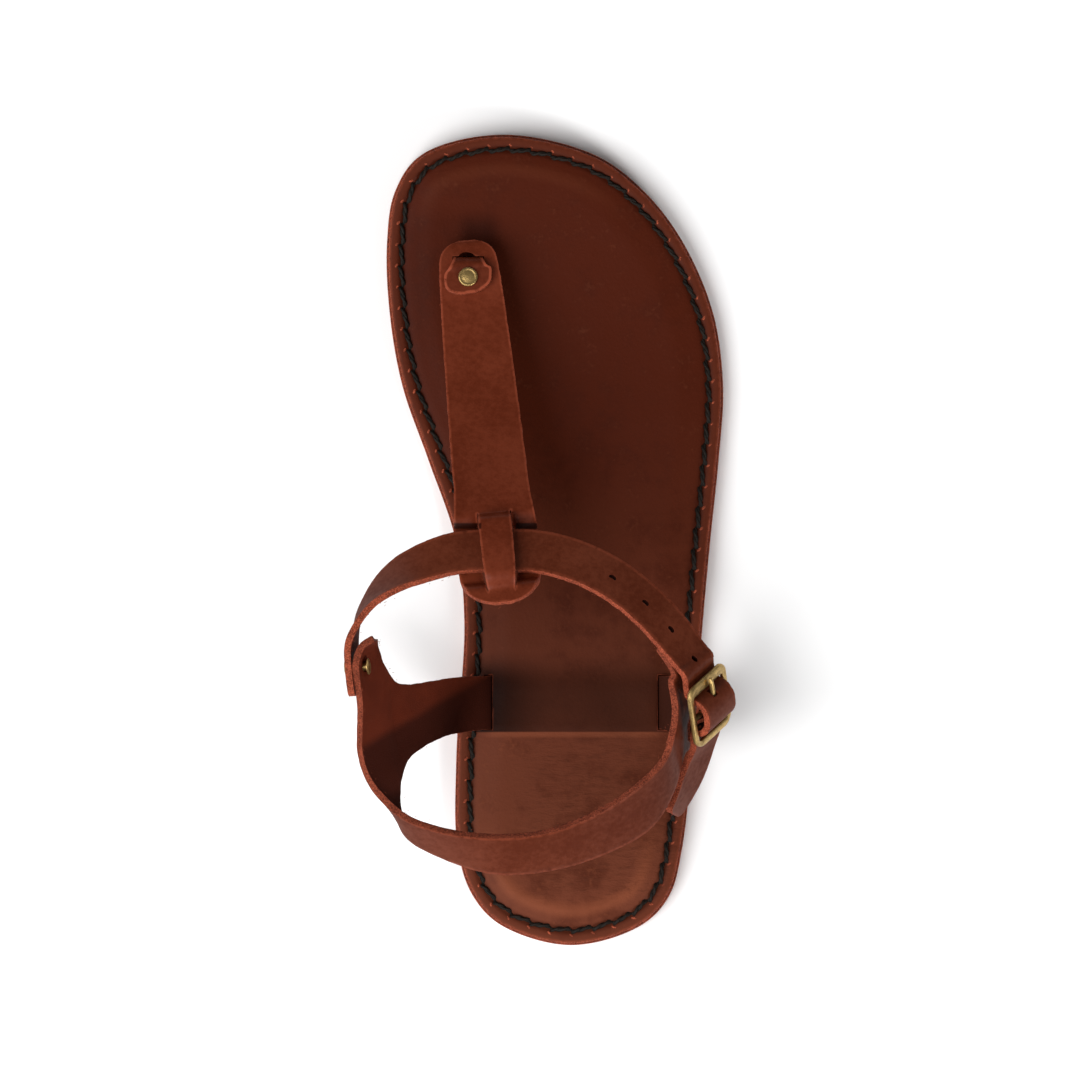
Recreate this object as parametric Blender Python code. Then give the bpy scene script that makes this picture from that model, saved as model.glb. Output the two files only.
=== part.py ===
"""Flat leather thong sandal with a T strap, a buckled ankle strap and a heel strap.

The shoe stands on the floor at z = 0 with its toe towards +Y. It is a right shoe:
the big toe's side is -X and the buckle is on +X.
"""
import math

import bmesh
import bpy
from mathutils import Matrix, Vector

# Sole sizes in metres
SOLE_LENGTH = 0.250
BALL_WIDTH = 0.1037
OUTSOLE_THICKNESS = 0.0036
INSOLE_THICKNESS = 0.0030
INSOLE_CROWN = 0.0008
INSOLE_STEP = 0.0007
TOE_SPRING = 0.0030
EDGE_ROUND = 0.0008
RIM_INSET = 0.010
DISH_INSET = 0.0065
CROWN_INSET = 0.0150

# Strap sizes in metres
STRAP_THICKNESS = 0.0021
INSTEP_WIDTH = 0.0235
ANKLE_WIDTH = 0.0138
POST_WIDTH = 0.0090
TAB_WIDTH = 0.0146
TAB_LENGTH = 0.0108
SLOT_MOUTH = 0.0052
POST_HEIGHT = 0.0168

# Collar sizes in metres: the ring that the ankle strap and the heel strap make
COLLAR_WIDTH = 0.100
COLLAR_LENGTH = 0.100
COLLAR_HEIGHT = 0.062

# Metal fittings in metres
BUCKLE_LENGTH = 0.0226
BUCKLE_SIDE_ROOM = 0.0006
WIRE = 0.0021
CORNER = 0.0034
REAR_CORNER = 0.0046
INNER_CORNER = 0.0006
REAR_INNER_CORNER = 0.0012
CENTRE_BAR = 0.00176
PLATE = 0.00168
FRONT_BAR = 0.0038
REAR_BAR = 0.0025
CHAPE_THICKNESS = 0.0011
CHAPE_WIDTH = 0.0084
PRONG_WIRE = 0.0016
RIVET_HEAD = 0.0060
RIVET_SHANK = 0.0026
RIVET_DOME = 0.0009
RIVET_SLACK = 0.0011

# How the buckle lies: its heading in plan, its dip towards the heel and its lean
BUCKLE_HEADING = math.radians(-82.0)
BUCKLE_DIP = math.radians(34.5)
BUCKLE_LEAN = math.radians(40.0)

# The clearance that pieces keep from each other
GAP = 0.0003

# Places that follow the sizes
COLLAR_MIDDLE = -0.1265 * BALL_WIDTH
COLLAR_BACK = -0.4085 * SOLE_LENGTH
SPRING_START = 0.22 * SOLE_LENGTH
INSOLE_BASE = OUTSOLE_THICKNESS + GAP
INSOLE_TOP = INSOLE_BASE + INSOLE_THICKNESS
LAYER = STRAP_THICKNESS + GAP
SLOT_ROOM = 2.4 * GAP
WEAVE_ROOM = 3.0 * GAP
LEG_STEPS = 16
RIVET_RISE = 0.06
PRONG_SIDES = 8
PRONG_SLOT = 0.48
PRONG_SLOT_AT = (-0.410, 0.00190)
PRONG_SLOT_DEPTH = 0.0030
TAB_BEND = 0.12
HOOK_SHARE = 0.8
FLAP_CUT = 0.015
TOE_RIVET_BACK = 0.53
FLAP_MIDDLE = 0.36

# Sole outline, heel to toe: share of the length, then the medial and the lateral
# edge as shares of the ball width
HEEL_TIP = (0.0, 0.060)
TOE_TIP = (1.0, -0.149)
SOLE_ROWS = (
    (0.025, -0.150, 0.270),
    (0.062, -0.234, 0.353),
    (0.120, -0.278, 0.390),
    (0.230, -0.282, 0.420),
    (0.400, -0.258, 0.452),
    (0.500, -0.284, 0.474),
    (0.600, -0.366, 0.499),
    (0.690, -0.442, 0.512),
    (0.780, -0.480, 0.482),
    (0.867, -0.488, 0.393),
    (0.930, -0.464, 0.277),
    (0.975, -0.386, 0.130),
)

# Places on the sole as shares of the ball width and the sole length
POST_PLACE = (-0.246, 0.344)
MEDIAL_SLIT = (-0.1875, -0.2006)
LATERAL_SLIT = (0.3303, -0.2006)
LEG_WIDTH = 0.0163

# Ankle strap, from its medial end to the buckle, in shares of the collar
# sizes: side, along, height, then the lean of its width from upright in degrees
ANKLE_ROWS = (
    (-0.471, 0.543, 0.920, -8.0),
    (-0.475, 0.620, 0.920, -12.0),
    (-0.479, 0.705, 0.920, -9.0),
    (-0.455, 0.784, 0.920, 4.0),
    (-0.421, 0.838, 0.920, 13.0),
    (-0.389, 0.873, 0.920, 23.0),
    (-0.348, 0.906, 0.920, 34.0),
    (-0.296, 0.935, 0.920, 45.0),
    (-0.171, 0.978, 0.932, 60.0),
    (-0.032, 0.988, 0.936, 64.0),
    (0.100, 0.983, 0.940, 64.0),
    (0.208, 0.955, 0.955, 63.0),
    (0.319, 0.901, 0.960, 61.0),
    (0.415, 0.827, 0.963, 60.0),
    (0.492, 0.747, 0.957, 58.0),
    (0.560, 0.660, 0.940, 52.0),
)
CROSSING = (-0.032, 0.988, 0.936)
MEDIAL_RIVET_PLACE = (-0.475, 0.625, 0.920)
BUCKLE_PLACE = (0.6165, 0.513, 0.840)

# The strap's way through the buckle: distance towards the heel as a share of
# half the buckle's length, and height above the bars in layers of strap
THREAD_ROWS = (
    (-1.28, -1.15),
    (-0.98, -1.11),
    (-0.80, -1.09),
    (-0.69, -1.06),
    (-0.590, -0.90),
    (-0.520, -0.42),
    (-0.480, 0.15),
    (-0.410, 0.95),
    (-0.220, 1.54),
    (0.000, 1.64),
    (0.220, 1.50),
    (0.420, 0.95),
    (0.535, 0.20),
    (0.600, -0.58),
    (0.700, -1.06),
    (0.860, -1.14),
    (1.060, -1.19),
)
# The chape's way from the heel strap to the centre bar and back, in the same shares
CHAPE_ABOVE_ROWS = (
    (1.130, -2.14),
    (1.040, -2.05),
    (0.900, -1.98),
    (0.680, -1.83),
    (0.485, -1.34),
    (0.350, -0.68),
    (0.250, 0.00),
    (0.136, 0.54),
)
CHAPE_BELOW_ROWS = (
    (0.180, -1.10),
    (0.360, -1.84),
    (0.600, -2.40),
    (0.900, -2.58),
    (1.040, -2.65),
    (1.130, -2.74),
)
# The prong from its hook to its tip: place as a share of half the buckle's length,
# height over its rest on the front bar in wires, share of the full thickness
PRONG_ROWS = (
    (-0.26, -0.02, 0.9),
    (-0.50, 0.10, 1.0),
    (-0.75, 0.06, 1.0),
    (-0.88, 0.00, 0.9),
    (-0.97, -0.05, 0.6),
)
# The tail beyond the buckle: side, along, height and lean, as for the ankle strap
TAIL_ROWS = (
    (0.587, 0.366, 0.626, 24.0),
    (0.574, 0.328, 0.597, 25.0),
    (0.557, 0.286, 0.575, 24.0),
    (0.532, 0.231, 0.568, 19.0),
    (0.504, 0.179, 0.566, 14.0),
)

# Instep strap, toe end to heel end: share of the way from the toe post to the
# crossing, share of the climb between them, share of the full width
INSTEP_ROWS = (
    (-0.063, -0.061, 0.20),
    (-0.057, -0.048, 0.40),
    (-0.043, -0.030, 0.59),
    (-0.025, -0.015, 0.70),
    (0.000, 0.000, 0.755),
    (0.060, 0.025, 0.80),
    (0.150, 0.062, 0.835),
    (0.320, 0.178, 0.89),
    (0.490, 0.347, 0.93),
    (0.660, 0.553, 0.965),
    (0.820, 0.770, 1.00),
    (0.900, 0.872, 1.08),
    (1.000, 1.000, 1.10),
    (1.100, 1.112, 1.00),
    (1.150, 1.160, 0.78),
    (1.172, 1.180, 0.45),
    (1.180, 1.188, 0.20),
)
# How the ankle strap's ends narrow: which frame, share of the full width
STRAP_END_SHARES = ((0, 0.62), (-2, 0.88), (-1, 0.55))

# The instep strap's bridge over the ankle strap: share of the width, then its run
BRIDGE_SHARE = 0.39
BRIDGE_FLAT = 0.0021
BRIDGE_REACH = 0.0042

# Heel strap from the medial to the lateral side, in shares of the collar sizes:
# its top edge's side, along and height, then the same of its lower edge
BAND_ROWS = (
    (-0.454, 0.512, 1.008, -0.380, 0.512, 0.795),
    (-0.455, 0.380, 1.000, -0.363, 0.373, 0.803),
    (-0.438, 0.309, 0.992, -0.338, 0.287, 0.811),
    (-0.400, 0.247, 0.984, -0.338, 0.207, 0.806),
    (-0.320, 0.176, 0.976, -0.310, 0.117, 0.798),
    (-0.202, 0.133, 0.968, -0.202, 0.052, 0.790),
    (-0.045, 0.114, 0.968, -0.045, 0.003, 0.790),
    (0.113, 0.128, 0.968, 0.119, 0.011, 0.790),
    (0.270, 0.187, 0.968, 0.292, 0.062, 0.774),
    (0.387, 0.262, 0.952, 0.434, 0.142, 0.750),
    (0.475, 0.349, 0.940, 0.502, 0.255, 0.742),
    (0.502, 0.429, 0.932, 0.528, 0.367, 0.714),
    (0.511, 0.506, 0.935, 0.545, 0.488, 0.710),
    (0.498, 0.585, 0.968, 0.592, 0.575, 0.750),
)
# The tabs under the ankle strap: the place along it, how far their two edges reach
# across it in shares of its width, how far the lower edge turns in, how many
# layers it lies under the strap
MEDIAL_TAB_ROWS = (
    (-0.472, 0.738, 0.920, 0.42, -0.50, -0.007, 2.75),
    (-0.479, 0.700, 0.920, 0.47, -0.56, 0.016, 1.85),
    (-0.475, 0.640, 0.920, 0.50, -0.60, 0.042, 1.10),
)
LATERAL_TAB_ROWS = (
    (0.560, 0.660, 0.940, 0.48, -0.62, 0.0, 1.35),
    (0.512, 0.724, 0.955, 0.42, -0.56, 0.0, 1.25),
)
# The toe post above the strap: distance back from its slot and height over it, in
# strap layers, share of the post's width, turn of its sides towards the toe
POST_BEND_ROWS = (
    (0.05, 0.70, 1.00, 0.00),
    (0.60, 1.23, 1.22, 0.06),
)
# Its tab: place from the rivet as a share of the tab's length, share of the tab's
# width, turn of its sides towards the toe
POST_TAB_ROWS = (
    (-0.25, 0.94, 0.13),
    (0.00, 1.00, 0.15),
    (0.25, 0.90, 0.15),
    (0.40, 0.60, 0.15),
    (0.46, 0.30, 0.15),
)
# The legs from the band down to the sole: the front edge, then the rear edge
MEDIAL_LEG_ROWS = (
    (-0.379, 0.618, 0.742, -0.329, 0.312, 0.758),
    (-0.360, 0.591, 0.694, -0.313, 0.346, 0.710),
    (-0.332, 0.577, 0.645, -0.276, 0.378, 0.613),
    (-0.242, 0.586, 0.468, -0.208, 0.414, 0.460),
    (-0.144, 0.600, 0.266, -0.144, 0.429, 0.266),
)
LATERAL_LEG_ROWS = (
    (0.564, 0.599, 0.710, 0.526, 0.345, 0.660),
    (0.566, 0.593, 0.630, 0.534, 0.366, 0.580),
    (0.572, 0.586, 0.500, 0.552, 0.382, 0.470),
    (0.576, 0.590, 0.360, 0.572, 0.395, 0.360),
    (0.545, 0.599, 0.225, 0.545, 0.410, 0.225),
)

GRAIN_BROWN = (0.105, 0.022, 0.010)
INSOLE_BROWN = (0.115, 0.030, 0.015)
SOLE_BROWN = (0.090, 0.030, 0.015)
ANTIQUE_BRASS = (0.42, 0.28, 0.11)


def clear_scene():
    for item in list(bpy.data.objects):
        bpy.data.objects.remove(item, do_unlink=True)


def make_material(name, color, roughness, metallic=0.0):
    material = bpy.data.materials.new(name)
    material.use_nodes = True
    shader = material.node_tree.nodes["Principled BSDF"]
    shader.inputs["Base Color"].default_value = (*color, 1.0)
    shader.inputs["Roughness"].default_value = roughness
    shader.inputs["Metallic"].default_value = metallic
    material.diffuse_color = (*color, 1.0)
    return material


def smooth_rows(rows, steps, closed=False, place=3):
    """Rows evenly spaced along the smooth curve through the given rows.

    The first `place` columns are the position that sets the spacing.
    """
    count = len(rows)
    spans = count if closed else count - 1

    def row(index):
        if closed:
            return rows[index % count]
        if index < 0:
            return [2 * a - b for a, b in zip(rows[0], rows[1])]
        if index >= count:
            return [2 * a - b for a, b in zip(rows[-1], rows[-2])]
        return rows[index]

    def spacing(first, second):
        return math.sqrt(math.dist(first[:place], second[:place]))

    dense = []
    fine = 16
    for span in range(spans):
        before, start, end, after = (row(span + shift) for shift in (-1, 0, 1, 2))
        lead, step, trail = spacing(before, start), spacing(start, end), spacing(end, after)
        for part in range(fine):
            t = part / fine
            mixed = []
            for b, s, e, a in zip(before, start, end, after):
                slope_in = ((e - s) / step * lead + (s - b) / lead * step) / (lead + step)
                slope_out = ((a - e) / trail * step + (e - s) / step * trail) / (step + trail)
                mixed.append((2 * t**3 - 3 * t**2 + 1) * s
                             + (t**3 - 2 * t**2 + t) * step * slope_in
                             + (3 * t**2 - 2 * t**3) * e
                             + (t**3 - t**2) * step * slope_out)
            dense.append(mixed)
    dense.append(list(rows[0] if closed else rows[-1]))
    lengths = [0.0]
    for first, second in zip(dense, dense[1:]):
        lengths.append(lengths[-1] + math.dist(first[:place], second[:place]))
    result = []
    index = 0
    for number in range(steps if closed else steps + 1):
        wanted = lengths[-1] * number / steps
        while index < len(lengths) - 2 and lengths[index + 1] < wanted:
            index += 1
        share = (wanted - lengths[index]) / max(lengths[index + 1] - lengths[index], 1e-12)
        result.append([a + (b - a) * share for a, b in zip(dense[index], dense[index + 1])])
    return result


def smooth_step(value):
    value = min(max(value, 0.0), 1.0)
    return value * value * (3.0 - 2.0 * value)


def finish(name, mesh_builder, material, thickness=None):
    """Turn a bmesh into a named object, given a thickness when it is a sheet."""
    mesh = bpy.data.meshes.new(name)
    bmesh.ops.recalc_face_normals(mesh_builder, faces=mesh_builder.faces)
    mesh_builder.to_mesh(mesh)
    mesh_builder.free()
    mesh.materials.append(material)
    item = bpy.data.objects.new(name, mesh)
    bpy.context.scene.collection.objects.link(item)
    if thickness:
        solid = item.modifiers.new("Thickness", "SOLIDIFY")
        solid.thickness = thickness
        solid.offset = 0.0
        solid.use_even_offset = True
    return item


def cut(item, cutters):
    """Cut closed shapes out of an object and keep them as hidden guides."""
    for cutter in cutters:
        cutter.hide_render = True
        cutter.display_type = "WIRE"
        boolean = item.modifiers.new("Cut " + cutter.name, "BOOLEAN")
        boolean.operation = "DIFFERENCE"
        boolean.solver = "EXACT"
        boolean.object = cutter


def box_cutter(name, size, frame):
    builder = bmesh.new()
    bmesh.ops.create_cube(builder, size=1.0, matrix=frame @ Matrix.Diagonal((*size, 1.0)))
    return finish(name, builder, bpy.data.materials["cutter"])


def pin_cutter(name, diameter, length, frame):
    builder = bmesh.new()
    bmesh.ops.create_cone(builder, cap_ends=True, segments=16, radius1=diameter / 2,
                          radius2=diameter / 2, depth=length, matrix=frame)
    return finish(name, builder, bpy.data.materials["cutter"])


def frame_at(place, along, across, out):
    """A matrix whose X, Y and Z columns are the given directions."""
    turn = Matrix((along, across, out)).transposed().to_4x4()
    return Matrix.Translation(place) @ turn


def on_sole(side, along):
    return Vector((side * BALL_WIDTH, along * SOLE_LENGTH))


def sole_rise(y):
    """The toe spring: how far the sole's underside lifts at a place along it."""
    span = SOLE_LENGTH / 2 - SPRING_START
    return TOE_SPRING * max(0.0, (y - SPRING_START) / span) ** 2


def sole_sides(steps):
    """The medial and the lateral edge, each as even points from heel tip to toe tip."""
    medial = [on_sole(side, share - 0.5) for share, side, _ in SOLE_ROWS]
    lateral = [on_sole(side, share - 0.5) for share, _, side in SOLE_ROWS]
    heel = on_sole(HEEL_TIP[1], HEEL_TIP[0] - 0.5)
    toe = on_sole(TOE_TIP[1], TOE_TIP[0] - 0.5)
    loop = [heel, *lateral, toe, *reversed(medial)]
    dense = [Vector(p) for p in smooth_rows([tuple(p) for p in loop], 12 * steps, True, 2)]
    turn = min(range(len(dense)), key=lambda index: (dense[index] - toe).length)
    lateral_side = smooth_rows([tuple(p) for p in dense[:turn + 1]], steps, False, 2)
    medial_loop = [*dense[turn:], dense[0]]
    medial_side = smooth_rows([tuple(p) for p in reversed(medial_loop)], steps, False, 2)
    return [Vector(p) for p in medial_side], [Vector(p) for p in lateral_side]


def inset(loop, distance):
    """A closed outline moved inwards along its own normals."""
    result = []
    count = len(loop)
    for index, point in enumerate(loop):
        along = loop[(index + 1) % count] - loop[index - 1]
        inward = Vector((-along.y, along.x)).normalized()
        result.append(point + inward * distance)
    return result


def sole_layer(name, rings, material, steps=40, rungs=7):
    """A closed slab of sole: rings of (inset, level, crown) from below to above.

    The first and the last ring are closed by rungs from side to side.
    """
    medial, lateral = sole_sides(steps)
    loop = [*lateral, *reversed(medial[1:-1])]
    builder = bmesh.new()
    levels = []
    for distance, level, crown in rings:
        ring = []
        for point in inset(loop, distance):
            ring.append(builder.verts.new((point.x, point.y, level + crown + sole_rise(point.y))))
        levels.append(ring)
    count = len(loop)
    for lower, upper in zip(levels, levels[1:]):
        for index in range(count):
            after = (index + 1) % count
            builder.faces.new((lower[index], lower[after], upper[after], upper[index]))
    for ring in (levels[0], levels[-1]):
        close_ring(builder, ring, steps, rungs)
    return finish(name, builder, material)


def close_ring(builder, ring, steps, rungs):
    """Fill a sole ring with rows of faces running from its lateral to its medial side."""
    rows = []
    for index in range(1, steps):
        lateral, medial = ring[index], ring[-index]
        row = [lateral]
        for rung in range(1, rungs):
            place = lateral.co.lerp(medial.co, rung / rungs)
            row.append(builder.verts.new(place))
        row.append(medial)
        rows.append(row)
    for tip, row in ((ring[0], rows[0]), (ring[steps], rows[-1])):
        for first, second in zip(row, row[1:]):
            builder.faces.new((tip, first, second))
    for row, following in zip(rows, rows[1:]):
        for index in range(rungs):
            builder.faces.new((row[index], row[index + 1], following[index + 1], following[index]))


def make_outsole(material):
    top = OUTSOLE_THICKNESS
    rings = (
        (RIM_INSET, 0.0, 0.0),
        (EDGE_ROUND, 0.0, 0.0),
        (0.0, EDGE_ROUND, 0.0),
        (0.0, top - EDGE_ROUND / 2, 0.0),
        (EDGE_ROUND / 2, top, 0.0),
        (RIM_INSET, top, 0.0),
    )
    return sole_layer("outsole", rings, material)


def make_insole(material):
    base, top = INSOLE_BASE, INSOLE_TOP
    rings = (
        (RIM_INSET, base, 0.0),
        (INSOLE_STEP, base, 0.0),
        (INSOLE_STEP, top - EDGE_ROUND, 0.0),
        (INSOLE_STEP + EDGE_ROUND, top, 0.0),
        (DISH_INSET, top, 0.0),
        (CROWN_INSET, top, INSOLE_CROWN),
    )
    insole = sole_layer("insole", rings, material)
    deep = 4 * INSOLE_THICKNESS
    middle = INSOLE_BASE + INSOLE_THICKNESS / 2
    cutters = []
    for name, (side, along) in (("medial_slit", MEDIAL_SLIT), ("lateral_slit", LATERAL_SLIT)):
        place = on_sole(side, along)
        size = (STRAP_THICKNESS + SLOT_ROOM, LEG_WIDTH + SLOT_ROOM, deep)
        cutters.append(box_cutter(name, size, Matrix.Translation((*place, middle))))
    place = on_sole(*POST_PLACE)
    size = (POST_WIDTH + SLOT_ROOM, STRAP_THICKNESS + SLOT_ROOM, deep)
    lift = middle + sole_rise(place.y)
    cutters.append(box_cutter("post_slit", size, Matrix.Translation((*place, lift))))
    cut(insole, cutters)
    return insole


def collar_point(side, along, height):
    return Vector((COLLAR_MIDDLE + side * COLLAR_WIDTH,
                   COLLAR_BACK + along * COLLAR_LENGTH,
                   height * COLLAR_HEIGHT))


def strap_frame(along, lean):
    """The width and outward directions of a strap that runs along a direction.

    At no lean its width is upright, and a lean turns its upper edge inwards.
    """
    inward = along.cross(Vector((0, 0, 1))).normalized()
    upward = inward.cross(along).normalized()
    width = inward * math.sin(lean) + upward * math.cos(lean)
    return width, width.cross(along).normalized()


def buckle_frame():
    """The buckle's place and its directions: along the strap, across it and outwards."""
    flat = math.cos(BUCKLE_DIP)
    along = Vector((flat * math.cos(BUCKLE_HEADING), flat * math.sin(BUCKLE_HEADING),
                    -math.sin(BUCKLE_DIP)))
    width, out = strap_frame(along, BUCKLE_LEAN)
    return collar_point(*BUCKLE_PLACE), along, -width, out


def in_buckle(along, across, out):
    place, forward, side, outward = buckle_frame()
    return place + forward * along + side * across + outward * out


def lean_widths(centres, leans):
    """Each place's width direction, worked out from its lean and its neighbours."""
    widths = []
    for index, lean in enumerate(leans):
        before = centres[max(index - 1, 0)]
        after = centres[min(index + 1, len(centres) - 1)]
        widths.append(strap_frame((after - before).normalized(), math.radians(lean))[0])
    return widths


def ribbon(centres, directions, widths, steps):
    """Rows of (centre, along, width direction, outward direction, width) along a strap."""
    rows = [(*centre, *direction, width)
            for centre, direction, width in zip(centres, directions, widths)]
    even = smooth_rows(rows, steps)
    frames = []
    for index, row in enumerate(even):
        before = Vector(even[max(index - 1, 0)][:3])
        after = Vector(even[min(index + 1, len(even) - 1)][:3])
        along = (after - before).normalized()
        width = Vector(row[3:6])
        width = (width - along * width.dot(along)).normalized()
        frames.append((Vector(row[:3]), along, width, width.cross(along), row[6]))
    return frames


def sheet(builder, rows):
    """Faces between rows of points, sharing the vertices that they were given."""
    for row, following in zip(rows, rows[1:]):
        for index in range(len(row) - 1):
            corners = (row[index], row[index + 1], following[index + 1], following[index])
            builder.faces.new(corners)


def ribbon_rows(builder, frames, shares):
    rows = []
    for centre, _, width, _, size in frames:
        rows.append([builder.verts.new(centre + width * size * share) for share in shares])
    return rows


def ankle_frames(steps=120):
    """The ankle strap's frames from its medial end, through the buckle, to its tip."""
    centres = [collar_point(*row[:3]) for row in ANKLE_ROWS]
    half = BUCKLE_LENGTH / 2
    threaded = [in_buckle(along * half, 0.0, layers * LAYER) for along, layers in THREAD_ROWS]
    tail = [collar_point(*row[:3]) for row in TAIL_ROWS]
    directions = lean_widths([*centres, threaded[0]], [*(row[3] for row in ANKLE_ROWS), 0.0])[:-1]
    directions += [-buckle_frame()[2]] * len(threaded)
    directions += lean_widths([threaded[-1], *tail], [0.0, *(row[3] for row in TAIL_ROWS)])[1:]
    places = [*centres, *threaded, *tail]
    return ribbon(places, directions, [ANKLE_WIDTH] * len(places), steps)


def nearest_frame(frames, place):
    return min(range(len(frames)), key=lambda index: (frames[index][0] - place).length)


def make_ankle_strap(material):
    frames = ankle_frames()
    for index, share in STRAP_END_SHARES:
        frame = frames[index]
        frames[index] = (*frame[:4], frame[4] * share)
    builder = bmesh.new()
    sheet(builder, ribbon_rows(builder, frames, (-0.5, 0.0, 0.5)))
    strap = finish("ankle_strap", builder, material, STRAP_THICKNESS)
    _, along, across, out = buckle_frame()
    half = BUCKLE_LENGTH / 2
    size = (PRONG_SLOT * half, PRONG_WIRE + SLOT_ROOM, PRONG_SLOT_DEPTH)
    spot = in_buckle(PRONG_SLOT_AT[0] * half, 0.0, PRONG_SLOT_AT[1])
    slot = box_cutter("prong_slot", size, frame_at(spot, along, across, out))
    cutters = [slot, pin_cutter("medial_strap_hole", RIVET_SHANK + SLOT_ROOM, 4 * LAYER,
                                medial_rivet_frame())]
    cut(strap, cutters)
    return strap


def medial_rivet_frame():
    """Where the medial rivet sits: the middle of the two leathers, pointing outwards."""
    frames = ankle_frames()
    spot = frames[nearest_frame(frames, collar_point(*MEDIAL_RIVET_PLACE))]
    centre, along, width, out, size = spot
    place = centre + width * size * RIVET_RISE - out * (LAYER + RIVET_SLACK) / 2
    return frame_at(place, along, width, out)


def tab_row(frames, place, top, low, inward, layers):
    """A row of the heel strap that lies some layers under the ankle strap."""
    centre, _, width, out, size = frames[nearest_frame(frames, place)]
    behind = centre - out * LAYER * layers
    turn = out * inward * COLLAR_WIDTH
    high = behind + width * size * top
    middle = behind + width * size * (top + low) / 2 - turn * TAB_BEND
    return (*high, *middle, *(behind + width * size * low - turn))


def band_row(row):
    """A row of the heel strap: its top edge, its middle and its lower edge."""
    top, low = collar_point(*row[:3]), collar_point(*row[3:])
    return (*top, *top.lerp(low, 0.5), *low)


def heel_band_rows():
    """The heel strap's rows, with its two tabs under the ankle strap."""
    frames = ankle_frames()
    rows = [tab_row(frames, collar_point(*row[:3]), *row[3:]) for row in MEDIAL_TAB_ROWS]
    rows += [band_row(row) for row in BAND_ROWS]
    rows += [tab_row(frames, collar_point(*row[:3]), *row[3:]) for row in LATERAL_TAB_ROWS]
    return rows


def leg_rows(rows, slit):
    """A leg's front and rear edges, from under the band down into its slit."""
    result = [(*collar_point(*row[:3]), *collar_point(*row[3:])) for row in rows]
    side, along = on_sole(*slit)
    half = LEG_WIDTH / 2
    lean = (result[-1][0] - side) * 0.12
    top = INSOLE_TOP + INSOLE_CROWN
    for shift, level in ((lean, top + STRAP_THICKNESS), (0.0, top), (0.0, INSOLE_BASE + GAP)):
        result.append((side + shift, along + half, level, side + shift, along - half, level))
    return result


def make_heel_strap(material):
    steps = 64
    band = smooth_rows(heel_band_rows(), steps, place=9)
    builder = bmesh.new()
    rows = []
    for row in band:
        top, middle, low = Vector(row[:3]), Vector(row[3:6]), Vector(row[6:])
        points = []
        for share in (0.0, 0.25, 0.5, 0.75, 1.0):
            points.append(builder.verts.new(top * (1 - share) * (1 - 2 * share)
                                            + middle * 4 * share * (1 - share)
                                            + low * share * (2 * share - 1)))
        rows.append(points)
    sheet(builder, rows)
    lower_edge = [row[-1] for row in rows]
    for table, slit in ((MEDIAL_LEG_ROWS, MEDIAL_SLIT), (LATERAL_LEG_ROWS, LATERAL_SLIT)):
        edges = leg_rows(table, slit)
        front, rear = Vector(edges[0][:3]), Vector(edges[0][3:])
        start = min(range(len(lower_edge)), key=lambda i: (lower_edge[i].co - front).length)
        end = min(range(len(lower_edge)), key=lambda i: (lower_edge[i].co - rear).length)
        turn = 1 if end > start else -1
        first = [lower_edge[index] for index in range(start - turn, end + 2 * turn, turn)]
        places = [vertex.co.copy() for vertex in first]
        reach = [0.0]
        for one, other in zip(places, places[1:]):
            reach.append(reach[-1] + (other - one).length)
        shares = [length / reach[-1] for length in reach]
        bends = [place - places[0].lerp(places[-1], share) for place, share in zip(places, shares)]
        grid = [first]
        even = smooth_rows(edges, LEG_STEPS, place=6)
        for number, row in enumerate(even):
            ahead, behind = Vector(row[:3]), Vector(row[3:])
            fade = max(0.0, 1.0 - (number + 1) / (0.4 * LEG_STEPS)) ** 2
            grid.append([builder.verts.new(ahead.lerp(behind, share) + bend * fade)
                         for share, bend in zip(shares, bends)])
        sheet(builder, grid)
    strap = finish("heel_strap", builder, material, STRAP_THICKNESS)
    cut(strap, [pin_cutter("medial_tab_hole", RIVET_SHANK + SLOT_ROOM, 4 * LAYER,
                           medial_rivet_frame())])
    return strap


def instep_line():
    """The instep strap's start at the toe post and its way to the crossing."""
    post = on_sole(*POST_PLACE)
    start = Vector((*post, POST_HEIGHT + sole_rise(post.y)))
    return start, collar_point(*CROSSING) - start


def instep_frames(steps=54):
    start, way = instep_line()
    centres = []
    widths = []
    for along, climb, width in INSTEP_ROWS:
        centres.append(start + Vector((way.x * along, way.y * along, way.z * climb)))
        widths.append(width * INSTEP_WIDTH)
    return ribbon(centres, lean_widths(centres, [90.0] * len(centres)), widths, steps)


def weave(distance):
    """How much of a layer the bridge stands over the ankle strap at a distance from it."""
    half = ANKLE_WIDTH / 2 + BRIDGE_FLAT
    return 1.0 - smooth_step((distance - half) / BRIDGE_REACH)


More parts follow.
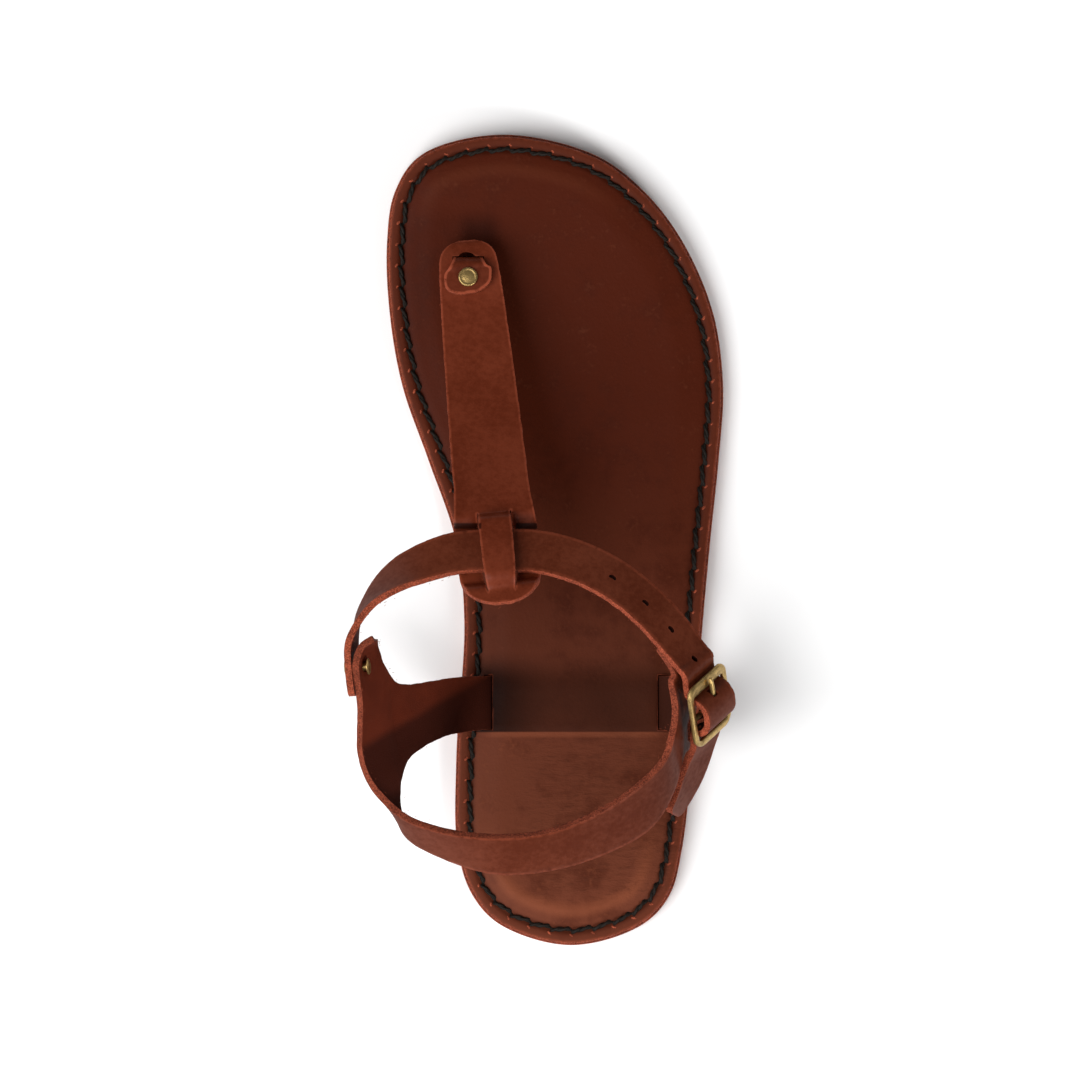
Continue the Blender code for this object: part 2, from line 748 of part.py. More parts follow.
def make_instep_strap(material):
    frames = instep_frames()
    crossing = collar_point(*CROSSING)
    builder = bmesh.new()
    inner = BRIDGE_SHARE / 2
    outer = inner + FLAP_CUT
    rows = []
    for centre, along, width, out, size in frames:
        lift = weave((centre - crossing).length) * (LAYER + WEAVE_ROOM)
        flaps = [[-0.5, -FLAP_MIDDLE, -outer], [outer, FLAP_MIDDLE, 0.5]]
        line = inner if lift > 1e-6 else outer
        bridge = [-line, 0.0, line]
        sides = []
        for shares in flaps:
            sides.append([centre + width * size * share - out * lift for share in shares])
        middle = [centre + width * size * share + out * lift for share in bridge]
        rows.append((sides[0], middle, sides[1], lift > 1e-6))
    made = []
    for left, middle, right, slit in rows:
        left = [builder.verts.new(point) for point in left]
        right = [builder.verts.new(point) for point in right]
        if slit:
            middle = [builder.verts.new(point) for point in middle]
        else:
            middle = [left[-1], builder.verts.new(middle[1]), right[0]]
        made.append((left, middle, right))
    for part in range(3):
        sheet(builder, [row[part] for row in made])
    strap = finish("instep_strap", builder, material, STRAP_THICKNESS)
    start, _ = instep_line()
    size = (POST_WIDTH + SLOT_ROOM, STRAP_THICKNESS + SLOT_ROOM, 4 * LAYER)
    slot = box_cutter("strap_slot", size, Matrix.Translation(start))
    mouth = pin_cutter("slot_mouth", SLOT_MOUTH, 4 * LAYER, slot_mouth_frame())
    hole = pin_cutter("post_rivet_hole", RIVET_SHANK + SLOT_ROOM, 4 * LAYER, toe_rivet_frame())
    cut(strap, [slot, mouth, hole])
    return strap


def slot_mouth_frame():
    """The wider, oval mouth that the toe post has worn in front of its slot."""
    start, _ = instep_line()
    middle = start + Vector((-0.09 * SLOT_MOUTH, 0.21 * SLOT_MOUTH, 0.0))
    return Matrix.Translation(middle) @ Matrix.Diagonal((1.0, 0.6, 1.0, 1.0))


def toe_rivet_frame():
    """Where the toe rivet sits: right behind the post's slot, through strap and tab."""
    frames = instep_frames()
    start, _ = instep_line()
    place = start + Vector((0.0, -TOE_RIVET_BACK * TAB_LENGTH, 0.0))
    centre, along, width, out, _ = frames[nearest_frame(frames, place)]
    centre = centre + along * (place.y - centre.y) / along.y
    spot = Vector((start.x, centre.y, centre.z))
    return frame_at(spot + out * LAYER / 2, along, width, out)


def make_toe_post(material):
    """A tongue that rises between the toes, passes the strap's slot and folds back."""
    start, _ = instep_line()
    spot = toe_rivet_frame()
    along = spot.col[0].to_3d()
    above = spot.translation + spot.col[2].to_3d() * LAYER / 2
    foot = INSOLE_BASE + GAP + sole_rise(start.y)
    rise = start.z - foot
    rows = [(start.x, start.y, foot + rise * share, POST_WIDTH, 0.0)
            for share in (0.0, 0.4, 0.8, 1.0)]
    for back, high, width, turn in POST_BEND_ROWS:
        rows.append((start.x, start.y - back * LAYER, start.z + high * LAYER,
                     width * POST_WIDTH, turn))
    for share, width, turn in POST_TAB_ROWS:
        point = above + along * share * TAB_LENGTH
        rows.append((above.x, point.y, point.z, width * TAB_WIDTH, turn))
    builder = bmesh.new()
    grid = []
    for x, y, z, width, turn in smooth_rows(rows, 26):
        grid.append([builder.verts.new((x + width * share, y + width * share * turn, z))
                     for share in (-0.5, 0.0, 0.5)])
    sheet(builder, grid)
    post = finish("toe_post", builder, material, STRAP_THICKNESS)
    cut(post, [pin_cutter("tab_hole", RIVET_SHANK + SLOT_ROOM, 4 * LAYER, toe_rivet_frame())])
    return post


def turned(name, profile, frame, material, segments=20):
    """A closed turned piece from (radius, height) rows that start and end on its axis."""
    builder = bmesh.new()
    rings = []
    for radius, height in profile[1:-1]:
        ring = []
        for index in range(segments):
            angle = 2 * math.pi * index / segments
            point = Vector((radius * math.cos(angle), radius * math.sin(angle), height))
            ring.append(builder.verts.new(frame @ point))
        rings.append(ring)
    for lower, upper in zip(rings, rings[1:]):
        for index in range(segments):
            after = (index + 1) % segments
            builder.faces.new((lower[index], lower[after], upper[after], upper[index]))
    for ring, (_, height) in ((rings[0], profile[0]), (rings[-1], profile[-1])):
        tip = builder.verts.new(frame @ Vector((0.0, 0.0, height)))
        for index in range(segments):
            builder.faces.new((ring[index], ring[(index + 1) % segments], tip))
    return finish(name, builder, material)


def make_rivet(name, frame, grip, material):
    """A rivet whose two heads hold a stack of leather of the given grip."""
    half = grip / 2 + GAP
    head, shank = RIVET_HEAD / 2, RIVET_SHANK / 2
    profile = (
        (0.0, -half - 0.8 * RIVET_DOME),
        (0.55 * head, -half - 0.7 * RIVET_DOME),
        (0.85 * head, -half - 0.3 * RIVET_DOME),
        (0.85 * head, -half),
        (shank, -half),
        (shank, half),
        (head, half),
        (head, half + 0.35 * RIVET_DOME),
        (0.75 * head, half + 0.85 * RIVET_DOME),
        (0.0, half + RIVET_DOME),
    )
    return turned(name, profile, frame, material)


def make_buckle_frame(material):
    """A flat frame with a broad front bar and a round bar across its middle."""
    frame = frame_at(*buckle_frame())
    half_length = BUCKLE_LENGTH / 2
    inner_width = ANKLE_WIDTH / 2 + BUCKLE_SIDE_ROOM
    outer_width = inner_width + WIRE
    builder = bmesh.new()
    outer = rounded_corners(-half_length, half_length, outer_width, CORNER, REAR_CORNER)
    inner = rounded_corners(-half_length + FRONT_BAR, half_length - REAR_BAR, inner_width,
                            INNER_CORNER, REAR_INNER_CORNER)
    rings = []
    for outline, levels in ((inner, (-0.5, 0.5)), (outer, (0.5, -0.5))):
        for level in levels:
            rings.append([builder.verts.new(frame @ Vector((x, y, level * PLATE)))
                          for x, y in outline])
    count = len(outer)
    for lower, upper in zip(rings, [*rings[1:], rings[0]]):
        for index in range(count):
            after = (index + 1) % count
            builder.faces.new((lower[index], lower[after], upper[after], upper[index]))
    buckle = finish("buckle_frame", builder, material)
    bar_builder = bmesh.new()
    turn = frame @ Matrix.Rotation(math.pi / 2, 4, "X")
    bmesh.ops.create_cone(bar_builder, cap_ends=True, segments=14, radius1=CENTRE_BAR / 2,
                          radius2=CENTRE_BAR / 2, depth=2 * inner_width + WIRE, matrix=turn)
    bar = finish("centre_bar", bar_builder, material)
    bar.hide_render = True
    bar.display_type = "WIRE"
    join = buckle.modifiers.new("Centre bar", "BOOLEAN")
    join.operation = "UNION"
    join.solver = "EXACT"
    join.object = bar
    return buckle


def rounded_corners(start, end, half_width, front_radius, rear_radius, turns=4):
    """A rectangle's outline with round corners, as points in order round it."""
    points = []
    for sign_x, sign_y, first in ((1, 1, 0), (-1, 1, 1), (-1, -1, 2), (1, -1, 3)):
        radius = rear_radius if sign_x > 0 else front_radius
        centre_x = (end - radius) if sign_x > 0 else (start + radius)
        centre_y = sign_y * (half_width - radius)
        for step in range(turns + 1):
            angle = (first + step / turns) * math.pi / 2
            points.append((centre_x + radius * math.cos(angle), centre_y + radius * math.sin(angle)))
    return points


def make_chape(material):
    """A strip folded round the centre bar, with a slot for the prong."""
    half = BUCKLE_LENGTH / 2
    bend = CENTRE_BAR / 2 + GAP + CHAPE_THICKNESS / 2
    rows = [(share * half, layers * LAYER) for share, layers in CHAPE_ABOVE_ROWS]
    rows += [(0.0, bend), (-0.71 * bend, 0.71 * bend), (-bend, 0.0)]
    rows += [(-0.71 * bend, -0.71 * bend), (0.1 * bend, -1.01 * bend)]
    rows += [(share * half, layers * LAYER) for share, layers in CHAPE_BELOW_ROWS]
    _, along, across, out = buckle_frame()
    builder = bmesh.new()
    grid = []
    for x, height in smooth_rows(rows, 36, place=2):
        grid.append([builder.verts.new(in_buckle(x, CHAPE_WIDTH * share, height))
                     for share in (-0.5, 0.5)])
    sheet(builder, grid)
    chape = finish("buckle_chape", builder, material, CHAPE_THICKNESS)
    reach = 4 * bend
    slot = box_cutter("chape_slot", (reach, PRONG_WIRE + 3 * GAP + SLOT_ROOM, 2 * reach),
                      frame_at(in_buckle(-reach / 2 + 1.7 * bend, 0.0, 0.0), along, across, out))
    cut(chape, [slot])
    return chape


def make_prong(material):
    """A tongue of wire hooked round the centre bar, lying on the front bar."""
    half = BUCKLE_LENGTH / 2
    thick = PRONG_WIRE / 2
    ring = CENTRE_BAR / 2 + GAP + thick * HOOK_SHARE
    lift = PLATE / 2 + GAP + thick
    rows = []
    for angle in (200, 250, 300, 350, 40, 90, 130):
        turn = math.radians(angle)
        rows.append((ring * math.cos(turn), ring * math.sin(turn), HOOK_SHARE))
    rows += [(along * half, lift + rise * PRONG_WIRE, share) for along, rise, share in PRONG_ROWS]
    builder = bmesh.new()
    rings = []
    even = smooth_rows(rows, 26, place=2)
    for index, (x, height, share) in enumerate(even):
        before, after = even[max(index - 1, 0)], even[min(index + 1, len(even) - 1)]
        along = Vector((after[0] - before[0], after[1] - before[1])).normalized()
        ring_points = []
        for corner in range(PRONG_SIDES):
            angle = 2 * math.pi * corner / PRONG_SIDES
            side = thick * share * math.cos(angle)
            up = thick * share * math.sin(angle)
            point = in_buckle(x - along.y * up, side, height + along.x * up)
            ring_points.append(builder.verts.new(point))
        rings.append(ring_points)
    for lower, upper in zip(rings, rings[1:]):
        for index in range(PRONG_SIDES):
            after = (index + 1) % PRONG_SIDES
            builder.faces.new((lower[index], lower[after], upper[after], upper[index]))
    builder.faces.new(rings[0])
    builder.faces.new(rings[-1])
    return finish("buckle_prong", builder, material)


def main():
    clear_scene()
    make_material("cutter", (0.5, 0.5, 0.5), 0.5)
    strap_leather = make_material("strap_leather", GRAIN_BROWN, 0.55)
    brass = make_material("antique_brass", ANTIQUE_BRASS, 0.38, 1.0)
    make_outsole(make_material("sole_leather", SOLE_BROWN, 0.7))
    make_insole(make_material("insole_leather", INSOLE_BROWN, 0.6))
    make_toe_post(strap_leather)
    make_instep_strap(strap_leather)
    make_ankle_strap(strap_leather)
    make_heel_strap(strap_leather)
    make_chape(strap_leather)
    make_buckle_frame(brass)
    make_prong(brass)
    two_layers = STRAP_THICKNESS + LAYER
    make_rivet("rivet_toe", toe_rivet_frame(), two_layers, brass)
    make_rivet("rivet_medial", medial_rivet_frame(), two_layers + RIVET_SLACK, brass)


main()
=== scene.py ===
"""A right-foot thong sandal in waxed brown leather, dressed for a studio picture.

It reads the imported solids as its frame, covers each of them with finished leather or
brass, and adds the stitching, a pale floor, soft light and a camera straight above.
"""

import math

import bmesh
import bpy
from bpy.props import FloatProperty, FloatVectorProperty, IntProperty, PointerProperty
from mathutils import Matrix, Vector, kdtree, noise


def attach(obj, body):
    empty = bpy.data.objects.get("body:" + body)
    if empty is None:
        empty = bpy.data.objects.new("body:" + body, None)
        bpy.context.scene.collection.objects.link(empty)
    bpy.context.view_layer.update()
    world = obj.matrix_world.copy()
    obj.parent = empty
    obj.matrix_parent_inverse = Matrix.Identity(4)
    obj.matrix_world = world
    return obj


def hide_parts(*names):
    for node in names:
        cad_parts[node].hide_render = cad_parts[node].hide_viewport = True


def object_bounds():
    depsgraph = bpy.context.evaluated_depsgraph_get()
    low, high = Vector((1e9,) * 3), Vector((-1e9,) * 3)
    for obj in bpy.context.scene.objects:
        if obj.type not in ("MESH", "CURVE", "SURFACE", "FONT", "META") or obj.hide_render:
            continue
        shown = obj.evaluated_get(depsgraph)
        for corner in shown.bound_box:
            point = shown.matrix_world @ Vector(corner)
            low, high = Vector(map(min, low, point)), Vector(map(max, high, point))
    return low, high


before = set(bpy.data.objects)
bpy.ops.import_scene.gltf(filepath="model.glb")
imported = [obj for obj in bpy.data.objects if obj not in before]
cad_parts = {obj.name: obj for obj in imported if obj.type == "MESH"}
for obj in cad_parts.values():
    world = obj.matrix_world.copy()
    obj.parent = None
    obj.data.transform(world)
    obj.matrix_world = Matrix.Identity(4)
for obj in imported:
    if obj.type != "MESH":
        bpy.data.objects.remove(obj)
CAD_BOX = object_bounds()

bl_info = {
    "name": "Thong Sandal",
    "version": (1, 0, 0),
    "blender": (4, 5, 0),
    "location": "View3D > Sidebar > Sandal",
    "description": "Dresses a leather thong sandal piece by piece",
    "category": "Add Mesh",
}

# Sole sizes in metres
SOLE_LENGTH = 0.250
BALL_WIDTH = 0.1037
OUTSOLE_THICKNESS = 0.0036
INSOLE_THICKNESS = 0.0030
INSOLE_CROWN = 0.0008
INSOLE_STEP = 0.0007
TOE_SPRING = 0.0030
EDGE_ROUND = 0.0008
DISH_INSET = 0.0065
CROWN_INSET = 0.0150

# Strap sizes in metres
STRAP_THICKNESS = 0.0021
INSTEP_WIDTH = 0.0235
ANKLE_WIDTH = 0.0138
POST_WIDTH = 0.0090
TAB_WIDTH = 0.0146
TAB_LENGTH = 0.0108
SLOT_MOUTH = 0.0052
POST_HEIGHT = 0.0168

# Collar sizes in metres: the ring that the ankle strap and the heel strap make
COLLAR_WIDTH = 0.100
COLLAR_LENGTH = 0.100
COLLAR_HEIGHT = 0.062

# Metal fittings in metres
BUCKLE_LENGTH = 0.0226
BUCKLE_SIDE_ROOM = 0.0006
WIRE = 0.0021
CORNER = 0.0034
REAR_CORNER = 0.0046
INNER_CORNER = 0.0006
REAR_INNER_CORNER = 0.0012
CENTRE_BAR = 0.00176
PLATE = 0.00168
FRONT_BAR = 0.0038
REAR_BAR = 0.0025
CHAPE_THICKNESS = 0.0011
CHAPE_WIDTH = 0.0084
PRONG_WIRE = 0.0016
RIVET_HEAD = 0.0060
RIVET_SHANK = 0.0026
RIVET_DOME = 0.0009
RIVET_SLACK = 0.0011

# How the buckle lies: its heading in plan, its dip towards the heel and its lean
BUCKLE_HEADING = math.radians(-82.0)
BUCKLE_DIP = math.radians(34.5)
BUCKLE_LEAN = math.radians(40.0)

# The clearance that pieces keep from each other
GAP = 0.0003

# Places that follow the sizes
COLLAR_MIDDLE = -0.1265 * BALL_WIDTH
COLLAR_BACK = -0.4085 * SOLE_LENGTH
SPRING_START = 0.22 * SOLE_LENGTH
INSOLE_BASE = OUTSOLE_THICKNESS + GAP
INSOLE_TOP = INSOLE_BASE + INSOLE_THICKNESS
LAYER = STRAP_THICKNESS + GAP
SLOT_ROOM = 2.4 * GAP
WEAVE_ROOM = 3.0 * GAP
RIVET_RISE = 0.06
PRONG_SLOT = 0.48
PRONG_SLOT_AT = (-0.410, 0.00190)
PRONG_SLOT_DEPTH = 0.0030
TAB_BEND = 0.12
HOOK_SHARE = 0.8
FLAP_CUT = 0.015
TOE_RIVET_BACK = 0.53

# Sole outline, heel to toe: share of the length, then the medial and the lateral
# edge as shares of the ball width
HEEL_TIP = (0.0, 0.060)
TOE_TIP = (1.0, -0.149)
SOLE_ROWS = (
    (0.025, -0.150, 0.270),
    (0.062, -0.234, 0.353),
    (0.120, -0.278, 0.390),
    (0.230, -0.282, 0.420),
    (0.400, -0.258, 0.452),
    (0.500, -0.284, 0.474),
    (0.600, -0.366, 0.499),
    (0.690, -0.442, 0.512),
    (0.780, -0.480, 0.482),
    (0.867, -0.488, 0.393),
    (0.930, -0.464, 0.277),
    (0.975, -0.386, 0.130),
)

# Places on the sole as shares of the ball width and the sole length
POST_PLACE = (-0.246, 0.344)
MEDIAL_SLIT = (-0.1875, -0.2006)
LATERAL_SLIT = (0.3303, -0.2006)
LEG_WIDTH = 0.0163

# Ankle strap, from its medial end to the buckle, in shares of the collar
# sizes: side, along, height, then the lean of its width from upright in degrees
ANKLE_ROWS = (
    (-0.471, 0.543, 0.920, -8.0),
    (-0.475, 0.620, 0.920, -12.0),
    (-0.479, 0.705, 0.920, -9.0),
    (-0.455, 0.784, 0.920, 4.0),
    (-0.421, 0.838, 0.920, 13.0),
    (-0.389, 0.873, 0.920, 23.0),
    (-0.348, 0.906, 0.920, 34.0),
    (-0.296, 0.935, 0.920, 45.0),
    (-0.171, 0.978, 0.932, 60.0),
    (-0.032, 0.988, 0.936, 64.0),
    (0.100, 0.983, 0.940, 64.0),
    (0.208, 0.955, 0.955, 63.0),
    (0.319, 0.901, 0.960, 61.0),
    (0.415, 0.827, 0.963, 60.0),
    (0.492, 0.747, 0.957, 58.0),
    (0.560, 0.660, 0.940, 52.0),
)
CROSSING = (-0.032, 0.988, 0.936)
MEDIAL_RIVET_PLACE = (-0.475, 0.625, 0.920)
BUCKLE_PLACE = (0.6165, 0.513, 0.840)

# The strap's way through the buckle: distance towards the heel as a share of
# half the buckle's length, and height above the bars in layers of strap
THREAD_ROWS = (
    (-1.28, -1.15),
    (-0.98, -1.11),
    (-0.80, -1.09),
    (-0.69, -1.06),
    (-0.590, -0.90),
    (-0.520, -0.42),
    (-0.480, 0.15),
    (-0.410, 0.95),
    (-0.220, 1.54),
    (0.000, 1.64),
    (0.220, 1.50),
    (0.420, 0.95),
    (0.535, 0.20),
    (0.600, -0.58),
    (0.700, -1.06),
    (0.860, -1.14),
    (1.060, -1.19),
)
# The chape's way from the heel strap to the centre bar and back, in the same shares
CHAPE_ABOVE_ROWS = (
    (1.130, -2.14),
    (1.040, -2.05),
    (0.900, -1.98),
    (0.680, -1.83),
    (0.485, -1.34),
    (0.350, -0.68),
    (0.250, 0.00),
    (0.136, 0.54),
)
CHAPE_BELOW_ROWS = (
    (0.180, -1.10),
    (0.360, -1.84),
    (0.600, -2.40),
    (0.900, -2.58),
    (1.040, -2.65),
    (1.130, -2.74),
)
# The prong from its hook to its tip: place as a share of half the buckle's length,
# height over its rest on the front bar in wires, share of the full thickness
PRONG_ROWS = (
    (-0.26, -0.02, 0.9),
    (-0.50, 0.10, 1.0),
    (-0.75, 0.06, 1.0),
    (-0.88, 0.00, 0.9),
    (-0.97, -0.05, 0.6),
)
# The tail beyond the buckle: side, along, height and lean, as for the ankle strap
TAIL_ROWS = (
    (0.587, 0.366, 0.626, 24.0),
    (0.574, 0.328, 0.597, 25.0),
    (0.557, 0.286, 0.575, 24.0),
    (0.532, 0.231, 0.568, 19.0),
    (0.504, 0.179, 0.566, 14.0),
)

# Instep strap, toe end to heel end: share of the way from the toe post to the
# crossing, share of the climb between them, share of the full width
INSTEP_ROWS = (
    (-0.063, -0.061, 0.20),
    (-0.057, -0.048, 0.40),
    (-0.043, -0.030, 0.59),
    (-0.025, -0.015, 0.70),
    (0.000, 0.000, 0.755),
    (0.060, 0.025, 0.80),
    (0.150, 0.062, 0.835),
    (0.320, 0.178, 0.89),
    (0.490, 0.347, 0.93),
    (0.660, 0.553, 0.965),
    (0.820, 0.770, 1.00),
    (0.900, 0.872, 1.08),
    (1.000, 1.000, 1.10),
    (1.100, 1.112, 1.00),
    (1.150, 1.160, 0.78),
    (1.172, 1.180, 0.45),
    (1.180, 1.188, 0.20),
)

# The instep strap's bridge over the ankle strap: share of the width, then its run
BRIDGE_SHARE = 0.39
BRIDGE_FLAT = 0.0021
BRIDGE_REACH = 0.0042

# Heel strap from the medial to the lateral side, in shares of the collar sizes:
# its top edge's side, along and height, then the same of its lower edge
BAND_ROWS = (
    (-0.454, 0.512, 1.008, -0.380, 0.512, 0.795),
    (-0.455, 0.380, 1.000, -0.363, 0.373, 0.803),
    (-0.438, 0.309, 0.992, -0.338, 0.287, 0.811),
    (-0.400, 0.247, 0.984, -0.338, 0.207, 0.806),
    (-0.320, 0.176, 0.976, -0.310, 0.117, 0.798),
    (-0.202, 0.133, 0.968, -0.202, 0.052, 0.790),
    (-0.045, 0.114, 0.968, -0.045, 0.003, 0.790),
    (0.113, 0.128, 0.968, 0.119, 0.011, 0.790),
    (0.270, 0.187, 0.968, 0.292, 0.062, 0.774),
    (0.387, 0.262, 0.952, 0.434, 0.142, 0.750),
    (0.475, 0.349, 0.940, 0.502, 0.255, 0.742),
    (0.502, 0.429, 0.932, 0.528, 0.367, 0.714),
    (0.511, 0.506, 0.935, 0.545, 0.488, 0.710),
    (0.498, 0.585, 0.968, 0.592, 0.575, 0.750),
)
# The tabs under the ankle strap: the place along it, how far their two edges reach
# across it in shares of its width, how far the lower edge turns in, how many
# layers it lies under the strap
MEDIAL_TAB_ROWS = (
    (-0.472, 0.738, 0.920, 0.42, -0.50, -0.007, 2.75),
    (-0.479, 0.700, 0.920, 0.47, -0.56, 0.016, 1.85),
    (-0.475, 0.640, 0.920, 0.50, -0.60, 0.042, 1.10),
)
LATERAL_TAB_ROWS = (
    (0.560, 0.660, 0.940, 0.48, -0.62, 0.0, 1.35),
    (0.512, 0.724, 0.955, 0.42, -0.56, 0.0, 1.25),
)
# The toe post above the strap: distance back from its slot and height over it, in
# strap layers, share of the post's width, turn of its sides towards the toe
POST_BEND_ROWS = (
    (0.05, 0.70, 1.00, 0.00),
    (0.60, 1.23, 1.22, 0.06),
)
# Its tab: place from the rivet as a share of the tab's length, share of the tab's
# width, turn of its sides towards the toe
POST_TAB_ROWS = (
    (-0.25, 0.94, 0.13),
    (0.00, 1.00, 0.15),
    (0.25, 0.90, 0.15),
    (0.40, 0.60, 0.15),
    (0.46, 0.30, 0.15),
)
# The legs from the band down to the sole: the front edge, then the rear edge
MEDIAL_LEG_ROWS = (
    (-0.379, 0.618, 0.742, -0.329, 0.312, 0.758),
    (-0.360, 0.591, 0.694, -0.313, 0.346, 0.710),
    (-0.332, 0.577, 0.645, -0.276, 0.378, 0.613),
    (-0.242, 0.586, 0.468, -0.208, 0.414, 0.460),
    (-0.144, 0.600, 0.266, -0.144, 0.429, 0.266),
)
LATERAL_LEG_ROWS = (
    (0.564, 0.599, 0.710, 0.526, 0.345, 0.660),
    (0.566, 0.593, 0.630, 0.534, 0.366, 0.580),
    (0.572, 0.586, 0.500, 0.552, 0.382, 0.470),
    (0.576, 0.590, 0.360, 0.572, 0.395, 0.360),
    (0.545, 0.599, 0.225, 0.545, 0.410, 0.225),
)

# The chape's fold round the centre bar, in shares of its bend, and the rivets' profiles:
# radius in shares of the head, height in shares of the dome
CHAPE_FOLD_ROWS = ((0.0, 1.0), (-0.71, 0.71), (-1.0, 0.0), (-0.71, -0.71), (0.1, -1.01))
RIVET_HEAD_ROWS = ((0.0, 0.75), (0.50, 0.72), (0.72, 0.55), (0.85, 0.25), (0.85, 0.0))
RIVET_CAP_ROWS = (
    (0.97, 0.0),
    (1.00, 0.20),
    (0.97, 0.55),
    (0.88, 0.78),
    (0.80, 0.80),
    (0.72, 0.66),
    (0.60, 0.68),
    (0.35, 0.86),
    (0.00, 0.94),
)

# How finely each piece is cut, in steps along it or round it
SOLE_STEPS = 260
SOLE_RUNGS = 34
ANKLE_STEPS = 300
INSTEP_STEPS = 130
BAND_STEPS = 200
LEG_FINE_STEPS = 44
POST_FINE_STEPS = 60
CHAPE_STEPS = 90
PRONG_STEPS = 60
STITCH_STEPS = 12
METAL_SIDES = 14
RIVET_SIDES = 40

# How deep the cutters reach, how soft and ragged the cut edges are and how square the
# buckle's frame is in section
CUT_DEPTH = 4 * LAYER
EDGE_SOFTNESS = 0.00034
CHAPE_SOFTNESS = 0.0002
RAGGEDNESS = 0.00016
FRAME_SQUARENESS = 0.7

# The stitch line's distance from the outsole's edge, its groove and the dip at each hole
SEAM_INSET = 0.0046
SEAM_DEPTH = 0.00045
SEAM_SPREAD = 0.0008
SEAM_SWELL = 0.00035
PUCKER_DEPTH = 0.00035
PUCKER_SPREAD = 0.0010
UNDER_GROOVE = 0.0009

# The thread's two plies, in shares of its thickness and turns of half a circle, and the
# lip of leather beside each stitch
PLY_OFFSET = 0.22
PLY_RADIUS = 0.31
PLY_TURNS = 2.2
NICK_SIZE = 0.00075

# The insole's face: the insets of its rings, its worn rim, the ridge inside the seam and,
# at the heel and at the toe, the ridge's height, where it starts and how soon it is full
FACE_INSETS = (0.0015, 0.0022, 0.0029, 0.0034, 0.0038, 0.0041, 0.0044, 0.0046, 0.0048, 0.0051,
               0.0054, 0.0058, 0.0063, 0.0070, 0.0079, 0.0090, 0.0102, 0.0114, 0.0126, 0.0138)
RIM_DROP = 0.00022
RIDGE_INSET = 0.0105
RIDGE_SPREAD = 0.0022
HEEL_RIDGE = (0.00055, -0.088, -0.020)
TOE_RIDGE = (0.00025, 0.094, 0.018)
UNEVENNESS = 0.00010

# Where the heel strap runs under the insole: the band's ends along and across the sole
BAND_HEEL_END = -0.0592
BAND_TOE_END = -0.0395
BAND_SIDES = (-0.0191, 0.0327)
BAND_RISE = 0.00045

# Loose fibres on the cut edges
FIBRES_PER_METRE = 900.0
FIBRE_LENGTH = 0.0011
FIBRE_WIDTH = 0.00016

# Painted shadow and shade on the leather, as ranges across or along the shoe: in the slits
# beside the bridge, on the insole beside the toe post, inside the legs and on the lateral band
FLAP_SIDES = (-0.0300, -0.0035)
BRIDGE_SIDES = (-0.0214, -0.0108)
SLIT_SHADOW_LINE = (0.0034, 0.0052)
TOE_SHADOW_SIDES = (-0.0270, -0.0165)
TOE_SHADOW_ENDS = (0.0880, 0.1000)
FOOT_WAY = (0.504, -0.864)
FOOT_SHADOW = (0.0252, 0.0285)
LATERAL_SHADOW = (0.018, 0.026)

# The free holes along the ankle strap, in plan, and their width
STRAP_HOLES = ((0.0188, -0.0120), (0.0284, -0.0194), (0.0361, -0.0275), (0.0435, -0.0367))
HOLE_WIDTH = 0.0020

# The stage: the picture's width on the floor and the camera's height in metres, its
# sensor in millimetres, the floor's level and the world's light
PICTURE_WIDTH = 0.3333
CAMERA_HEIGHT = 8.0
SENSOR_WIDTH = 36.0
FLOOR_LEVEL = -0.0001
WORLD_STRENGTH = 0.17


def smooth_rows(rows, steps, closed=False, place=3):
    """Rows evenly spaced along the smooth curve through the given rows.

    The first `place` columns are the position that sets the spacing.
    """
    count = len(rows)
    spans = count if closed else count - 1

    def row(index):
        if closed:
            return rows[index % count]
        if index < 0:
            return [2 * a - b for a, b in zip(rows[0], rows[1])]
        if index >= count:
            return [2 * a - b for a, b in zip(rows[-1], rows[-2])]
        return rows[index]

    def spacing(first, second):
        return math.sqrt(math.dist(first[:place], second[:place]))

    dense = []
    fine = 16
    for span in range(spans):
        before, start, end, after = (row(span + shift) for shift in (-1, 0, 1, 2))
        lead, step, trail = spacing(before, start), spacing(start, end), spacing(end, after)
        for part in range(fine):
            t = part / fine
            mixed = []
            for b, s, e, a in zip(before, start, end, after):
                slope_in = ((e - s) / step * lead + (s - b) / lead * step) / (lead + step)
                slope_out = ((a - e) / trail * step + (e - s) / step * trail) / (step + trail)
                mixed.append((2 * t**3 - 3 * t**2 + 1) * s
                             + (t**3 - 2 * t**2 + t) * step * slope_in
                             + (3 * t**2 - 2 * t**3) * e
                             + (t**3 - t**2) * step * slope_out)
            dense.append(mixed)
    dense.append(list(rows[0] if closed else rows[-1]))
    lengths = [0.0]
    for first, second in zip(dense, dense[1:]):
        lengths.append(lengths[-1] + math.dist(first[:place], second[:place]))
    result = []
    index = 0
    for number in range(steps if closed else steps + 1):
        wanted = lengths[-1] * number / steps
        while index < len(lengths) - 2 and lengths[index + 1] < wanted:
            index += 1
        share = (wanted - lengths[index]) / max(lengths[index + 1] - lengths[index], 1e-12)
        result.append([a + (b - a) * share for a, b in zip(dense[index], dense[index + 1])])
    return result


def smooth_step(value):
    value = min(max(value, 0.0), 1.0)
    return value * value * (3.0 - 2.0 * value)


def frame_at(place, along, across, out):
    """A matrix whose X, Y and Z columns are the given directions."""
    turn = Matrix((along, across, out)).transposed().to_4x4()
    return Matrix.Translation(place) @ turn


def on_sole(side, along):
    return Vector((side * BALL_WIDTH, along * SOLE_LENGTH))


def sole_rise(y):
    """The toe spring: how far the sole's underside lifts at a place along it."""
    span = SOLE_LENGTH / 2 - SPRING_START
    return TOE_SPRING * max(0.0, (y - SPRING_START) / span) ** 2


